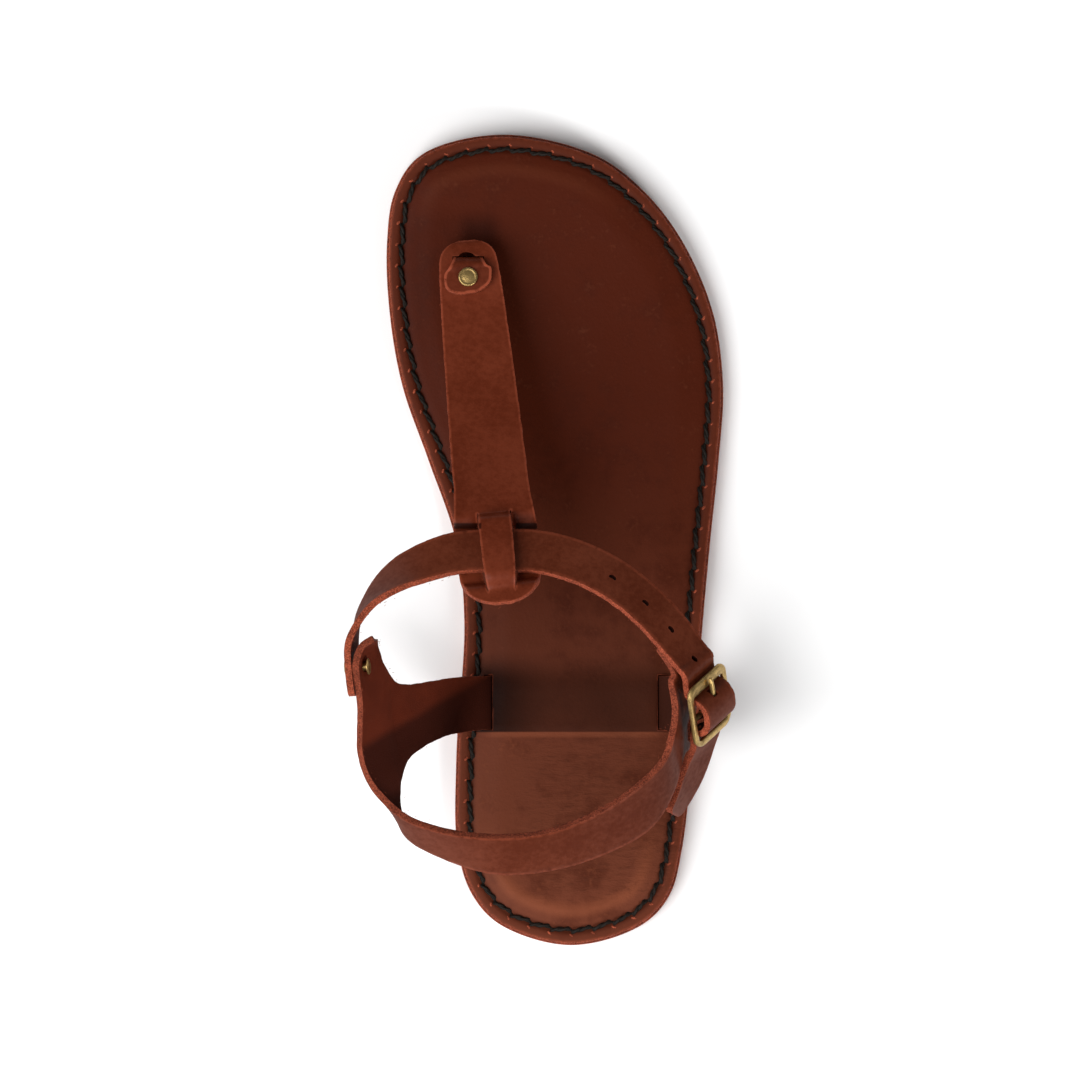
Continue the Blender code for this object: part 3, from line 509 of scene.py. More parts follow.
def sole_sides(steps):
    """The medial and the lateral edge, each as even points from heel tip to toe tip."""
    medial = [on_sole(side, share - 0.5) for share, side, _ in SOLE_ROWS]
    lateral = [on_sole(side, share - 0.5) for share, _, side in SOLE_ROWS]
    heel = on_sole(HEEL_TIP[1], HEEL_TIP[0] - 0.5)
    toe = on_sole(TOE_TIP[1], TOE_TIP[0] - 0.5)
    loop = [heel, *lateral, toe, *reversed(medial)]
    dense = [Vector(p) for p in smooth_rows([tuple(p) for p in loop], 12 * steps, True, 2)]
    turn = min(range(len(dense)), key=lambda index: (dense[index] - toe).length)
    lateral_side = smooth_rows([tuple(p) for p in dense[:turn + 1]], steps, False, 2)
    medial_loop = [*dense[turn:], dense[0]]
    medial_side = smooth_rows([tuple(p) for p in reversed(medial_loop)], steps, False, 2)
    return [Vector(p) for p in medial_side], [Vector(p) for p in lateral_side]


def inset(loop, distance):
    """A closed outline moved inwards along its own normals."""
    result = []
    count = len(loop)
    for index, point in enumerate(loop):
        along = loop[(index + 1) % count] - loop[index - 1]
        inward = Vector((-along.y, along.x)).normalized()
        result.append(point + inward * distance)
    return result


def collar_point(side, along, height):
    return Vector((COLLAR_MIDDLE + side * COLLAR_WIDTH,
                   COLLAR_BACK + along * COLLAR_LENGTH,
                   height * COLLAR_HEIGHT))


def strap_frame(along, lean):
    """The width and outward directions of a strap that runs along a direction.

    At no lean its width is upright, and a lean turns its upper edge inwards.
    """
    inward = along.cross(Vector((0, 0, 1))).normalized()
    upward = inward.cross(along).normalized()
    width = inward * math.sin(lean) + upward * math.cos(lean)
    return width, width.cross(along).normalized()


def buckle_frame():
    """The buckle's place and its directions: along the strap, across it and outwards."""
    flat = math.cos(BUCKLE_DIP)
    along = Vector((flat * math.cos(BUCKLE_HEADING), flat * math.sin(BUCKLE_HEADING),
                    -math.sin(BUCKLE_DIP)))
    width, out = strap_frame(along, BUCKLE_LEAN)
    return collar_point(*BUCKLE_PLACE), along, -width, out


def in_buckle(along, across, out):
    place, forward, side, outward = buckle_frame()
    return place + forward * along + side * across + outward * out


def way_at(places, index):
    """The direction of a line of places at one of them."""
    before = places[max(index - 1, 0)]
    after = places[min(index + 1, len(places) - 1)]
    return (after - before).normalized()


def lean_widths(centres, leans):
    """Each place's width direction, worked out from its lean and its neighbours."""
    return [strap_frame(way_at(centres, index), math.radians(lean))[0]
            for index, lean in enumerate(leans)]


def ribbon(centres, directions, widths, steps):
    """Rows of (centre, along, width direction, outward direction, width) along a strap."""
    rows = [(*centre, *direction, width)
            for centre, direction, width in zip(centres, directions, widths)]
    even = smooth_rows(rows, steps)
    places = [Vector(row[:3]) for row in even]
    frames = []
    for index, row in enumerate(even):
        along = way_at(places, index)
        width = Vector(row[3:6])
        width = (width - along * width.dot(along)).normalized()
        frames.append((places[index], along, width, width.cross(along), row[6]))
    return frames


def sheet(builder, rows):
    """Faces between rows of vertices, which are returned in order."""
    return [builder.faces.new((row[index], row[index + 1], following[index + 1],
                               following[index]))
            for row, following in zip(rows, rows[1:]) for index in range(len(row) - 1)]


def raise_rows(builder, rows):
    """Vertices at rows of places."""
    return [[builder.verts.new(place) for place in row] for row in rows]


def ankle_frames(steps=120):
    """The ankle strap's frames from its medial end, through the buckle, to its tip."""
    centres = [collar_point(*row[:3]) for row in ANKLE_ROWS]
    half = BUCKLE_LENGTH / 2
    threaded = [in_buckle(along * half, 0.0, layers * LAYER) for along, layers in THREAD_ROWS]
    tail = [collar_point(*row[:3]) for row in TAIL_ROWS]
    directions = lean_widths([*centres, threaded[0]], [*(row[3] for row in ANKLE_ROWS), 0.0])[:-1]
    directions += [-buckle_frame()[2]] * len(threaded)
    directions += lean_widths([threaded[-1], *tail], [0.0, *(row[3] for row in TAIL_ROWS)])[1:]
    places = [*centres, *threaded, *tail]
    return ribbon(places, directions, [ANKLE_WIDTH] * len(places), steps)


def nearest_frame(frames, place):
    return min(range(len(frames)), key=lambda index: (frames[index][0] - place).length)


def medial_rivet_frame():
    """Where the medial rivet sits: the middle of the two leathers, pointing outwards."""
    frames = ankle_frames()
    spot = frames[nearest_frame(frames, collar_point(*MEDIAL_RIVET_PLACE))]
    centre, along, width, out, size = spot
    place = centre + width * size * RIVET_RISE - out * (LAYER + RIVET_SLACK) / 2
    return frame_at(place, along, width, out)


def tab_row(frames, place, top, low, inward, layers):
    """A row of the heel strap that lies some layers under the ankle strap."""
    centre, _, width, out, size = frames[nearest_frame(frames, place)]
    behind = centre - out * LAYER * layers
    turn = out * inward * COLLAR_WIDTH
    high = behind + width * size * top
    middle = behind + width * size * (top + low) / 2 - turn * TAB_BEND
    return (*high, *middle, *(behind + width * size * low - turn))


def band_row(row):
    """A row of the heel strap: its top edge, its middle and its lower edge."""
    top, low = collar_point(*row[:3]), collar_point(*row[3:])
    return (*top, *top.lerp(low, 0.5), *low)


def heel_band_rows():
    """The heel strap's rows, with its two tabs under the ankle strap."""
    frames = ankle_frames()
    rows = [tab_row(frames, collar_point(*row[:3]), *row[3:]) for row in MEDIAL_TAB_ROWS]
    rows += [band_row(row) for row in BAND_ROWS]
    rows += [tab_row(frames, collar_point(*row[:3]), *row[3:]) for row in LATERAL_TAB_ROWS]
    return rows


def leg_rows(rows, slit):
    """A leg's front and rear edges, from under the band down into its slit."""
    result = [(*collar_point(*row[:3]), *collar_point(*row[3:])) for row in rows]
    side, along = on_sole(*slit)
    half = LEG_WIDTH / 2
    lean = (result[-1][0] - side) * 0.12
    top = INSOLE_TOP + INSOLE_CROWN
    for shift, level in ((lean, top + STRAP_THICKNESS), (0.0, top), (0.0, INSOLE_BASE + GAP)):
        result.append((side + shift, along + half, level, side + shift, along - half, level))
    return result


def instep_line():
    """The instep strap's start at the toe post and its way to the crossing."""
    post = on_sole(*POST_PLACE)
    start = Vector((*post, POST_HEIGHT + sole_rise(post.y)))
    return start, collar_point(*CROSSING) - start


def instep_frames(steps=54):
    start, way = instep_line()
    centres = []
    widths = []
    for along, climb, width in INSTEP_ROWS:
        centres.append(start + Vector((way.x * along, way.y * along, way.z * climb)))
        widths.append(width * INSTEP_WIDTH)
    return ribbon(centres, lean_widths(centres, [90.0] * len(centres)), widths, steps)


def weave(distance):
    """How much of a layer the bridge stands over the ankle strap at a distance from it."""
    half = ANKLE_WIDTH / 2 + BRIDGE_FLAT
    return 1.0 - smooth_step((distance - half) / BRIDGE_REACH)


def slot_mouth_frame():
    """The wider, oval mouth that the toe post has worn in front of its slot."""
    start, _ = instep_line()
    middle = start + Vector((-0.09 * SLOT_MOUTH, 0.21 * SLOT_MOUTH, 0.0))
    return Matrix.Translation(middle) @ Matrix.Diagonal((1.0, 0.6, 1.0, 1.0))


def toe_rivet_frame():
    """Where the toe rivet sits: right behind the post's slot, through strap and tab."""
    frames = instep_frames()
    start, _ = instep_line()
    place = start + Vector((0.0, -TOE_RIVET_BACK * TAB_LENGTH, 0.0))
    centre, along, width, out, _ = frames[nearest_frame(frames, place)]
    centre = centre + along * (place.y - centre.y) / along.y
    spot = Vector((start.x, centre.y, centre.z))
    return frame_at(spot + out * LAYER / 2, along, width, out)


def rounded_corners(start, end, half_width, front_radius, rear_radius, turns=4):
    """A rectangle's outline with round corners, as points in order round it."""
    points = []
    for sign_x, sign_y, first in ((1, 1, 0), (-1, 1, 1), (-1, -1, 2), (1, -1, 3)):
        radius = rear_radius if sign_x > 0 else front_radius
        centre_x = (end - radius) if sign_x > 0 else (start + radius)
        centre_y = sign_y * (half_width - radius)
        for step in range(turns + 1):
            angle = (first + step / turns) * math.pi / 2
            points.append((centre_x + radius * math.cos(angle),
                           centre_y + radius * math.sin(angle)))
    return points


class Tone:
    """One value of a finish: sums, differences and products of it become shader maths."""

    def __init__(self, finish, socket):
        self.finish = finish
        self.socket = socket

    def maths(self, operation, first, second):
        return self.finish.node("ShaderNodeMath", {"operation": operation}, {0: first, 1: second})

    def __add__(self, other):
        return self.maths("ADD", self, other)

    def __radd__(self, other):
        return self.maths("ADD", other, self)

    def __sub__(self, other):
        return self.maths("SUBTRACT", self, other)

    def __rsub__(self, other):
        return self.maths("SUBTRACT", other, self)

    def __mul__(self, other):
        return self.maths("MULTIPLY", self, other)

    def __rmul__(self, other):
        return self.maths("MULTIPLY", other, self)


class Finish:
    """A named material whose nodes are written as expressions."""

    def __init__(self, name, constants):
        self.material = bpy.data.materials.new(name)
        self.material.use_nodes = True
        self.tree = self.material.node_tree
        self.shader = self.tree.nodes["Principled BSDF"]
        for socket, value in constants.items():
            self.plug(self.shader.inputs[socket], value)
        self.place = self.node("ShaderNodeTexCoord", {}, {}, "Object")
        self.tone = None

    def node(self, kind, settings, sockets, output=0):
        """Add a node: its settings first, then the values or links of its sockets."""
        made = self.tree.nodes.new(kind)
        for name, value in settings.items():
            setattr(made, name, value)
        for name, value in sockets.items():
            self.plug(made.inputs[name], value)
        return Tone(self, made.outputs[output])

    def plug(self, socket, value):
        if isinstance(value, Tone):
            self.tree.links.new(value.socket, socket)
        elif socket.type == "RGBA":
            socket.default_value = (*value, 1.0)
        else:
            socket.default_value = value

    def set(self, name, value):
        self.plug(self.shader.inputs[name], value)

    def mottle(self, size, detail, rough, stretch=None):
        """Soft patches of about the given size in metres."""
        place = self.place
        if stretch:
            place = self.node("ShaderNodeVectorMath", {"operation": "MULTIPLY"},
                              {0: place, 1: stretch})
        return self.node("ShaderNodeTexNoise", {},
                         {"Vector": place, "Scale": 1.0 / size, "Detail": detail,
                          "Roughness": rough})

    def pebbles(self, size):
        """Small rounded cells, 0 in their middles."""
        return self.node("ShaderNodeTexVoronoi", {"feature": "F1"},
                         {"Vector": self.place, "Scale": 1.0 / size})

    def rise(self, value, low, high):
        """0 at the low end, 1 at the high end, and smooth between them."""
        return self.node("ShaderNodeMapRange", {"interpolation_type": "SMOOTHSTEP"},
                         {"Value": value, "From Min": low, "From Max": high})

    def between(self, value, low, high, soft_low, soft_high):
        """1 between two ends that fade over their own widths."""
        start = self.rise(value, low - soft_low / 2, low + soft_low / 2)
        end = self.rise(value, high - soft_high / 2, high + soft_high / 2)
        return start * (1.0 - end)

    def from_edge(self):
        """The distance from the cut edge, which the mesh carries at each of its points."""
        return self.node("ShaderNodeAttribute", {"attribute_name": "from_edge"}, {}, "Fac")

    def along(self, axis):
        """The place along an axis of the shoe, in metres."""
        return self.node("ShaderNodeSeparateXYZ", {}, {0: self.place}, axis)

    def blend(self, first, second, share):
        """Start the colour as a mix of two."""
        self.tone = self.node("ShaderNodeMix", {"data_type": "RGBA"},
                              {0: share, 6: first, 7: second}, 2)

    def lay(self, color, share):
        """Cover the colour so far with another one, as strongly as the share says."""
        self.blend(self.tone, color, share)

    def done(self, roughness, height, depth):
        """The material with its colour, its roughness and a relief of a depth in metres."""
        self.set("Base Color", self.tone)
        self.set("Roughness", roughness)
        self.set("Normal", self.node("ShaderNodeBump", {},
                                     {"Height": height, "Distance": depth, "Strength": 1.0}))
        return self.material


def darker(color, share):
    return tuple(channel * share for channel in color)


def waxed_grain(name, colours):
    """A waxed face with pull-up patches, a fine pebble, lighter fibres at its rim and a painted
    shadow line in the slits beside the bridge.
    """
    colour, shade, rim_share, rim_width = GRAINS[name]
    grain = darker(getattr(colours, colour), shade)
    rubbed = darker(getattr(colours, colour + "_worn"), shade)
    finish = Finish(name, {"Specular IOR Level": 0.0, "Coat Roughness": 0.36})
    clouds = finish.mottle(0.021, 3.0, 0.55)
    flecks = finish.mottle(0.0019, 4.0, 0.62)
    fine = finish.mottle(0.00032, 2.0, 0.6)
    rim = 1.0 - finish.rise(finish.from_edge(), 0.4 * rim_width, rim_width)
    worn = finish.rise(clouds * 0.55 + flecks * 0.45, 0.34, 0.66)
    finish.blend(darker(grain, 0.84), rubbed, worn)
    finish.lay(darker(grain, 0.62), finish.rise(flecks, 0.60, 0.82) * 0.35)
    finish.lay(colours.edge, rim * finish.rise(flecks, 0.26, 0.56) * rim_share)
    # Painted shadow: a near-black line in the slits beside the bridge, where the flaps dip under
    # the ankle strap
    x = finish.along("X")
    slits = finish.between(x, *FLAP_SIDES, 0.001, 0.001)
    slits = slits * (1.0 - finish.between(x, *BRIDGE_SIDES, 0.0006, 0.0006))
    slits = slits * finish.between(finish.along("Y"), *SLIT_SHADOW_LINE, 0.0006, 0.0006)
    finish.lay(darker(grain, 0.12), slits * 0.90)
    finish.set("Coat Weight", 0.14 + 0.10 * worn)
    relief = finish.pebbles(0.00085) * 0.34 + fine * 0.26 + flecks * 0.85 + clouds * 1.4
    return finish.done(0.36 + 0.16 * flecks + 0.08 * clouds, relief, 0.00011)


def hole_wall(name, colours):
    """The inside of a punched hole, painted near black as the shade in it."""
    return Finish(name, {"Base Color": darker(colours.strap, 0.16), "Roughness": 0.9,
                         "Specular IOR Level": 0.05}).material


def leather_flesh(name, colours):
    """The back of the straps: matt, with a short nap, with painted shadow low on the medial leg and
    on the lateral side.
    """
    finish = Finish(name, {"Specular IOR Level": 0.10})
    clouds = finish.mottle(0.012, 3.0, 0.6)
    nap = finish.mottle(0.00045, 4.0, 0.7)
    finish.blend(darker(colours.flesh, 0.72), colours.flesh,
                 finish.rise(clouds * 0.5 + nap * 0.5, 0.36, 0.64))
    # Painted shadow: darker towards the foot of the medial leg, where the heel strap shades it
    toward_foot = finish.along("X") * FOOT_WAY[0] + finish.along("Y") * FOOT_WAY[1]
    leg_shadow = finish.rise(toward_foot + clouds * 0.002, *FOOT_SHADOW)
    finish.lay(darker(colours.flesh, 0.30), leg_shadow * 0.92)
    # Painted shade on the flesh of the lateral leg and band
    finish.lay(colours.insole_band_shadow, finish.rise(finish.along("X"), *LATERAL_SHADOW) * 0.8)
    return finish.done(0.72 + 0.18 * nap, nap + clouds * 0.8, 0.00022)


def cut_fibres(name, colours):
    """A cut edge of the leather, where its lighter fibres show."""
    finish = Finish(name, {"Specular IOR Level": 0.15})
    fibre = finish.mottle(0.00042, 4.0, 0.72)
    patches = finish.mottle(0.0034, 3.0, 0.6)
    finish.blend(darker(colours.edge_dark, EDGE_SHADES[name]),
                 darker(colours.edge, EDGE_SHADES[name]),
                 finish.rise(fibre * 0.80 + patches * 0.20, 0.41, 0.60))
    return finish.done(0.66 + 0.22 * fibre, fibre * 1.0 + patches * 0.6, 0.00028)


def insole_grain(name, colours):
    """The insole's face: darker at the toe and lighter at the heel, partly rubbed and partly
    painted light, with painted shade on the band.
    """
    finish = Finish(name, {"Specular IOR Level": 0.03, "Coat Roughness": 0.42})
    y = finish.along("Y")
    x = finish.along("X")
    clouds = finish.mottle(0.030, 4.0, 0.6)
    patches = finish.mottle(0.0075, 4.0, 0.62)
    flecks = finish.mottle(0.0016, 4.0, 0.62)
    fine = finish.mottle(0.00034, 2.0, 0.6)
    edge = finish.from_edge()
    # Lighter towards the heel: partly rubbed, partly painted light from the heel side where the
    # main light stands
    heel = 1.0 - finish.rise(y + clouds * 0.03, -0.080, 0.062)
    finish.blend(colours.insole_toe, colours.insole_heel, heel)
    finish.lay(darker(colours.insole_toe, 0.72),
               finish.rise(clouds * 0.6 + patches * 0.4, 0.48, 0.68) * 0.55)
    finish.lay(colours.insole_wear_and_highlight,
               finish.rise(patches * 0.5 + flecks * 0.5, 0.54, 0.72) * (0.14 + 0.20 * heel))
    # Painted shade on the band where the heel strap runs beneath the insole, over its small step
    low, high = BAND_SIDES
    band = (finish.between(y, BAND_HEEL_END, BAND_TOE_END, 0.0006, 0.012)
            * finish.between(x, low - 0.006, high + 0.004, 0.006, 0.006))
    finish.lay(colours.insole_band_shadow, band * 0.82)
    # Painted shade: darker still at the band's medial end, beside the medial leg
    finish.lay(darker(colours.insole_band_shadow, 0.35),
               band * (1.0 - finish.rise(x, -0.020, 0.002)) * 0.95)
    # Painted highlight: a lighter lip on the step behind the band's heel end
    lip = finish.between(y, BAND_HEEL_END - 0.0016, BAND_HEEL_END, 0.0012, 0.0005)
    finish.lay(colours.insole_wear_and_highlight, lip * finish.between(x, low, high, 0.006, 0.006) * 0.45)
    border = 1.0 - finish.rise(edge, SEAM_INSET - 0.0012, SEAM_INSET - 0.0002)
    finish.lay(colours.insole_border, border * (0.45 + 0.35 * flecks))
    rim = 1.0 - finish.rise(edge, 0.0005, 0.0018)
    finish.lay(colours.edge, rim * finish.rise(flecks, 0.30, 0.60) * 0.85)
    # Painted shadow of the T strap's raised toe end on the insole
    toe_shadow = finish.between(x, *TOE_SHADOW_SIDES, 0.006, 0.006)
    toe_shadow = toe_shadow * finish.between(y, *TOE_SHADOW_ENDS, 0.006, 0.008)
    finish.lay(darker(colours.insole_toe, 0.25), toe_shadow * 0.60)
    # Painted shade in the seam's groove
    groove = finish.between(edge, SEAM_INSET - 0.0014, SEAM_INSET + 0.0014, 0.0018, 0.0018)
    finish.lay(darker(colours.insole_toe, 0.50), groove * 0.45)
    # Painted highlight on the ridge inside the seam, at the heel and a little at the toe
    ridge_highlight = finish.between(edge, 0.0088, 0.0125, 0.003, 0.004)
    ends = 1.0 - finish.rise(y, -0.108, -0.086) + finish.rise(y, 0.096, 0.114) * 0.18
    finish.lay(colours.insole_wear_and_highlight, ridge_highlight * ends * 0.55)
    creases = finish.mottle(0.0017, 4.0, 0.66, (0.30, 1.0, 1.0))
    crease_area = (finish.between(y, -0.112, -0.060, 0.012, 0.012)
                   * finish.between(x, -0.008, 0.042, 0.016, 0.010))
    # The creases are darker in colour too: painted shade in them
    finish.lay(darker(colours.insole_heel, 0.62),
               crease_area * finish.rise(creases, 0.53, 0.66) * 0.42)
    finish.set("Coat Weight", 0.02 + 0.05 * patches)
    relief = finish.pebbles(0.00095) * 0.30 + fine * 0.22 + flecks * 0.7 + patches * 1.3
    return finish.done(0.46 + 0.20 * flecks + 0.12 * clouds,
                       relief + creases * crease_area * 3.6, 0.00013)


def sole_edge(name, colours):
    """The burnished edge of the sole, with lighter fibres in layers."""
    finish = Finish(name, {"Specular IOR Level": 0.15})
    layers = finish.mottle(0.0011, 3.0, 0.65, (0.25, 0.25, 1.0))
    fibre = finish.mottle(0.00045, 4.0, 0.7)
    finish.blend(darker(colours.edge_dark, EDGE_SHADES[name]),
                 darker(colours.edge, EDGE_SHADES[name]),
                 finish.rise(layers * 0.5 + fibre * 0.5, 0.38, 0.62))
    return finish.done(0.50 + 0.25 * fibre, layers * 0.9 + fibre * 0.6, 0.00022)


def sole_underside(name, colours):
    """The outsole's underside: firm matt leather, rubbed where it meets the floor."""
    finish = Finish(name, {"Specular IOR Level": 0.35})
    clouds = finish.mottle(0.028, 4.0, 0.6)
    flecks = finish.mottle(0.0014, 4.0, 0.65)
    scratches = finish.mottle(0.0010, 3.0, 0.6, (1.0, 0.10, 1.0))
    finish.blend(darker(colours.underside, 0.72), colours.underside,
                 finish.rise(clouds * 0.6 + flecks * 0.4, 0.38, 0.62))
    finish.lay(darker(colours.underside, 0.5), finish.rise(scratches, 0.62, 0.72) * 0.35)
    return finish.done(0.60 + 0.2 * flecks, flecks * 0.8 + scratches * 0.6, 0.00016)


def waxed_thread(name, colours):
    """Dark waxed thread with its twist and a little fluff."""
    finish = Finish(name, {"Specular IOR Level": 0.16})
    fibre = finish.mottle(0.00028, 3.0, 0.7)
    wear = finish.mottle(0.0035, 2.0, 0.5)
    finish.blend(darker(colours.thread, 0.5), colours.thread,
                 finish.rise(fibre * 0.6 + wear * 0.4, 0.36, 0.64))
    return finish.done(0.52 + 0.2 * fibre, fibre, 0.00012)


def aged_brass(name, colours):
    """Brass with a brown patina that handling has rubbed through."""
    finish = Finish(name, {"Metallic": 1.0})
    clouds = finish.mottle(0.0028, 4.0, 0.62)
    pits = finish.mottle(0.00042, 3.0, 0.6)
    worn = finish.rise(clouds * 0.60 + pits * 0.40, 0.30, 0.60)
    finish.blend(colours.patina, colours.brass, worn)
    return finish.done(0.50 - 0.20 * worn + 0.12 * pits, clouds * 0.9 + pits * 0.7, 0.00010)


# The waxed faces: which colour, how much of it, then how light and how broad the rim is
GRAINS = {
    "strap_grain": ("strap", 1.0, 0.62, 0.0008),
    "tab_grain": ("strap", 0.80, 1.50, 0.0010),
    "collar_grain": ("collar", 1.0, 0.30, 0.0012),
}
EDGE_SHADES = {"cut_edge": 1.10, "bright_edge": 1.50, "sole_edge": 1.50}
MAKERS = {
    **dict.fromkeys(GRAINS, waxed_grain),
    "cut_edge": cut_fibres,
    "bright_edge": cut_fibres,
    **{maker.__name__: maker for maker in (hole_wall, leather_flesh, insole_grain, sole_edge,
                                           sole_underside, waxed_thread, aged_brass)},
}


def finishes(*names):
    """The finishes of those names, each made once."""
    colours = bpy.context.scene.sandal_colours
    return tuple(bpy.data.materials.get(name) or MAKERS[name](name, colours) for name in names)


def place_piece(name, builder, materials):
    """Turn a bmesh into a named object with its finishes."""
    mesh = bpy.data.meshes.new(name)
    builder.to_mesh(mesh)
    builder.free()
    for material in materials:
        mesh.materials.append(material)
    item = bpy.data.objects.new(name, mesh)
    bpy.context.scene.collection.objects.link(item)
    return item


def settle(item, angle=38.0):
    """Keep what the modifiers make, drop the cutters and shade the result smooth."""
    graph = bpy.context.evaluated_depsgraph_get()
    mesh = bpy.data.meshes.new_from_object(item.evaluated_get(graph))
    shapes = [boolean.object for boolean in item.modifiers if boolean.type == "BOOLEAN"]
    item.modifiers.clear()
    for shape in shapes:
        bpy.data.objects.remove(shape, do_unlink=True)
    item.data = mesh
    mesh.polygons.foreach_set("use_smooth", [True] * len(mesh.polygons))
    mesh.set_sharp_from_angle(angle=math.radians(angle))
    return item


def dress(item, slot, *nodes):
    """Say what a piece rides on and what it stands for. Its slot, where its finish would come from,
    is not used.
    """
    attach(item, "root")
    if nodes:
        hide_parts(*nodes)


def cutter(name, builder, materials=()):
    """An object that Booleans cut with. Its normals have to look outwards for that."""
    bmesh.ops.recalc_face_normals(builder, faces=builder.faces)
    item = place_piece(name, builder, materials)
    item.hide_render = True
    item.display_type = "WIRE"
    return item


def slot_cutter(name, size, matrix):
    builder = bmesh.new()
    bmesh.ops.create_cube(builder, size=1.0, matrix=matrix @ Matrix.Diagonal((*size, 1.0)))
    return cutter(name, builder)


def hole_cutter(name, diameter, matrix, materials=()):
    builder = bmesh.new()
    bmesh.ops.create_cone(builder, cap_ends=True, segments=24, radius1=diameter / 2,
                          radius2=diameter / 2, depth=CUT_DEPTH, matrix=matrix)
    return cutter(name, builder, materials)


def rivet_hole(name, matrix):
    return hole_cutter(name, RIVET_SHANK + SLOT_ROOM, matrix)


def add_cut(item, shape):
    """Cut a shape out of a piece. A shape with a finish leaves it on the cut's walls."""
    boolean = item.modifiers.new("Cut " + shape.name, "BOOLEAN")
    boolean.operation = "DIFFERENCE"
    boolean.solver = "EXACT"
    boolean.material_mode = "TRANSFER" if shape.data.materials else "INDEX"
    boolean.object = shape


def ring(builder, centre, side, up, count):
    """Vertices round a centre, where side and up are the ring's two radii."""
    turns = [2 * math.pi * index / count for index in range(count)]
    return [builder.verts.new(centre + side * math.cos(turn) + up * math.sin(turn))
            for turn in turns]


def loft(builder, rings, materials=None):
    """Faces between closed rings of vertices, with a finish for each span."""
    for span, (lower, upper) in enumerate(zip(rings, rings[1:])):
        for index in range(len(lower)):
            after = (index + 1) % len(lower)
            face = builder.faces.new((lower[index], lower[after], upper[after], upper[index]))
            if materials:
                face.material_index = materials[span]


def close_ends(builder, rings):
    builder.faces.new(reversed(rings[0]))
    builder.faces.new(rings[-1])


def fan(builder, around, tip):
    """Triangles from a closed ring of vertices to a tip."""
    for first, second in zip(around, [*around[1:], around[0]]):
        builder.faces.new((first, second, tip))


def tree_of(places):
    tree = kdtree.KDTree(len(places))
    for index, place in enumerate(places):
        tree.insert(place, index)
    tree.balance()
    return tree


def face_outwards(builder, probe, outward):
    """Turn a sheet so that its face nearest to a place looks the given way."""
    bmesh.ops.recalc_face_normals(builder, faces=builder.faces)
    nearest = min(builder.faces, key=lambda face: (face.calc_center_median() - probe).length)
    if nearest.normal.dot(outward) < 0.0:
        bmesh.ops.reverse_faces(builder, faces=builder.faces)


def measure_edges(builder):
    """Store at each point its distance from the sheet's cut edge."""
    layer = builder.verts.layers.float.new("from_edge")
    tree = tree_of([vertex.co for vertex in builder.verts if vertex.is_boundary])
    for vertex in builder.verts:
        vertex[layer] = tree.find(vertex.co)[2]


def ragged_rim(builder):
    """Move the cut edge in and out a little, as a knife leaves it."""
    for vertex in [vertex for vertex in builder.verts if vertex.is_boundary]:
        inside = Vector()
        for edge in vertex.link_edges:
            if not edge.is_boundary:
                inside += edge.other_vert(vertex).co - vertex.co
        if inside.length > 0.0:
            swing = noise.noise(vertex.co * 420.0) + 0.6 * noise.noise(vertex.co * 1300.0)
            vertex.co += inside.normalized() * RAGGEDNESS * swing


def chance(index, turn):
    """An even number from 0 to 1 that is always the same for the same fibre."""
    return noise.cell(Vector((index * 1.37 + 0.5, turn * 7.1 + 0.5, 0.5)))


def frayed(builder, thickness):
    """Short fibres that stand out of the cut edge of a sheet, as a new bmesh."""
    fibres = bmesh.new()
    index = 0
    for edge in [edge for edge in builder.edges if edge.is_boundary]:
        face = edge.link_faces[0]
        one, other = (vertex.co for vertex in edge.verts)
        along = (other - one).normalized()
        out = one.lerp(other, 0.5) - face.calc_center_median()
        out = (out - along * out.dot(along)).normalized()
        count = int((other - one).length * FIBRES_PER_METRE + chance(index, 0))
        for _ in range(count):
            index += 1
            level = face.normal * thickness * 0.8 * (chance(index, 1) - 0.5)
            start = one.lerp(other, chance(index, 2)) + level - out * FIBRE_WIDTH
            way = out * (0.35 + 0.65 * chance(index, 3))
            way += face.normal * 0.9 * (chance(index, 4) - 0.5)
            way += along * 2.2 * (chance(index, 5) - 0.5)
            reach = FIBRE_LENGTH * (0.35 + 0.65 * chance(index, 6) ** 2)
            curl = along * (chance(index, 7) - 0.5) + face.normal * (chance(index, 8) - 0.5)
            add_fibre(fibres, start, way.normalized() * reach, curl * 0.6 * reach)
        index += 1
    return fibres


def add_fibre(fibres, start, way, curl):
    """One fibre: three sides that narrow to a point, with a bend half way."""
    side = way.orthogonal().normalized() * FIBRE_WIDTH / 2
    up = way.normalized().cross(side)
    root = ring(fibres, start, side, up, 3)
    bend = ring(fibres, start + way * 0.5 + curl * 0.25, side * 0.8, up * 0.8, 3)
    loft(fibres, [root, bend])
    fan(fibres, bend, fibres.verts.new(start + way + curl * 0.6))
    fibres.faces.new(reversed(root))


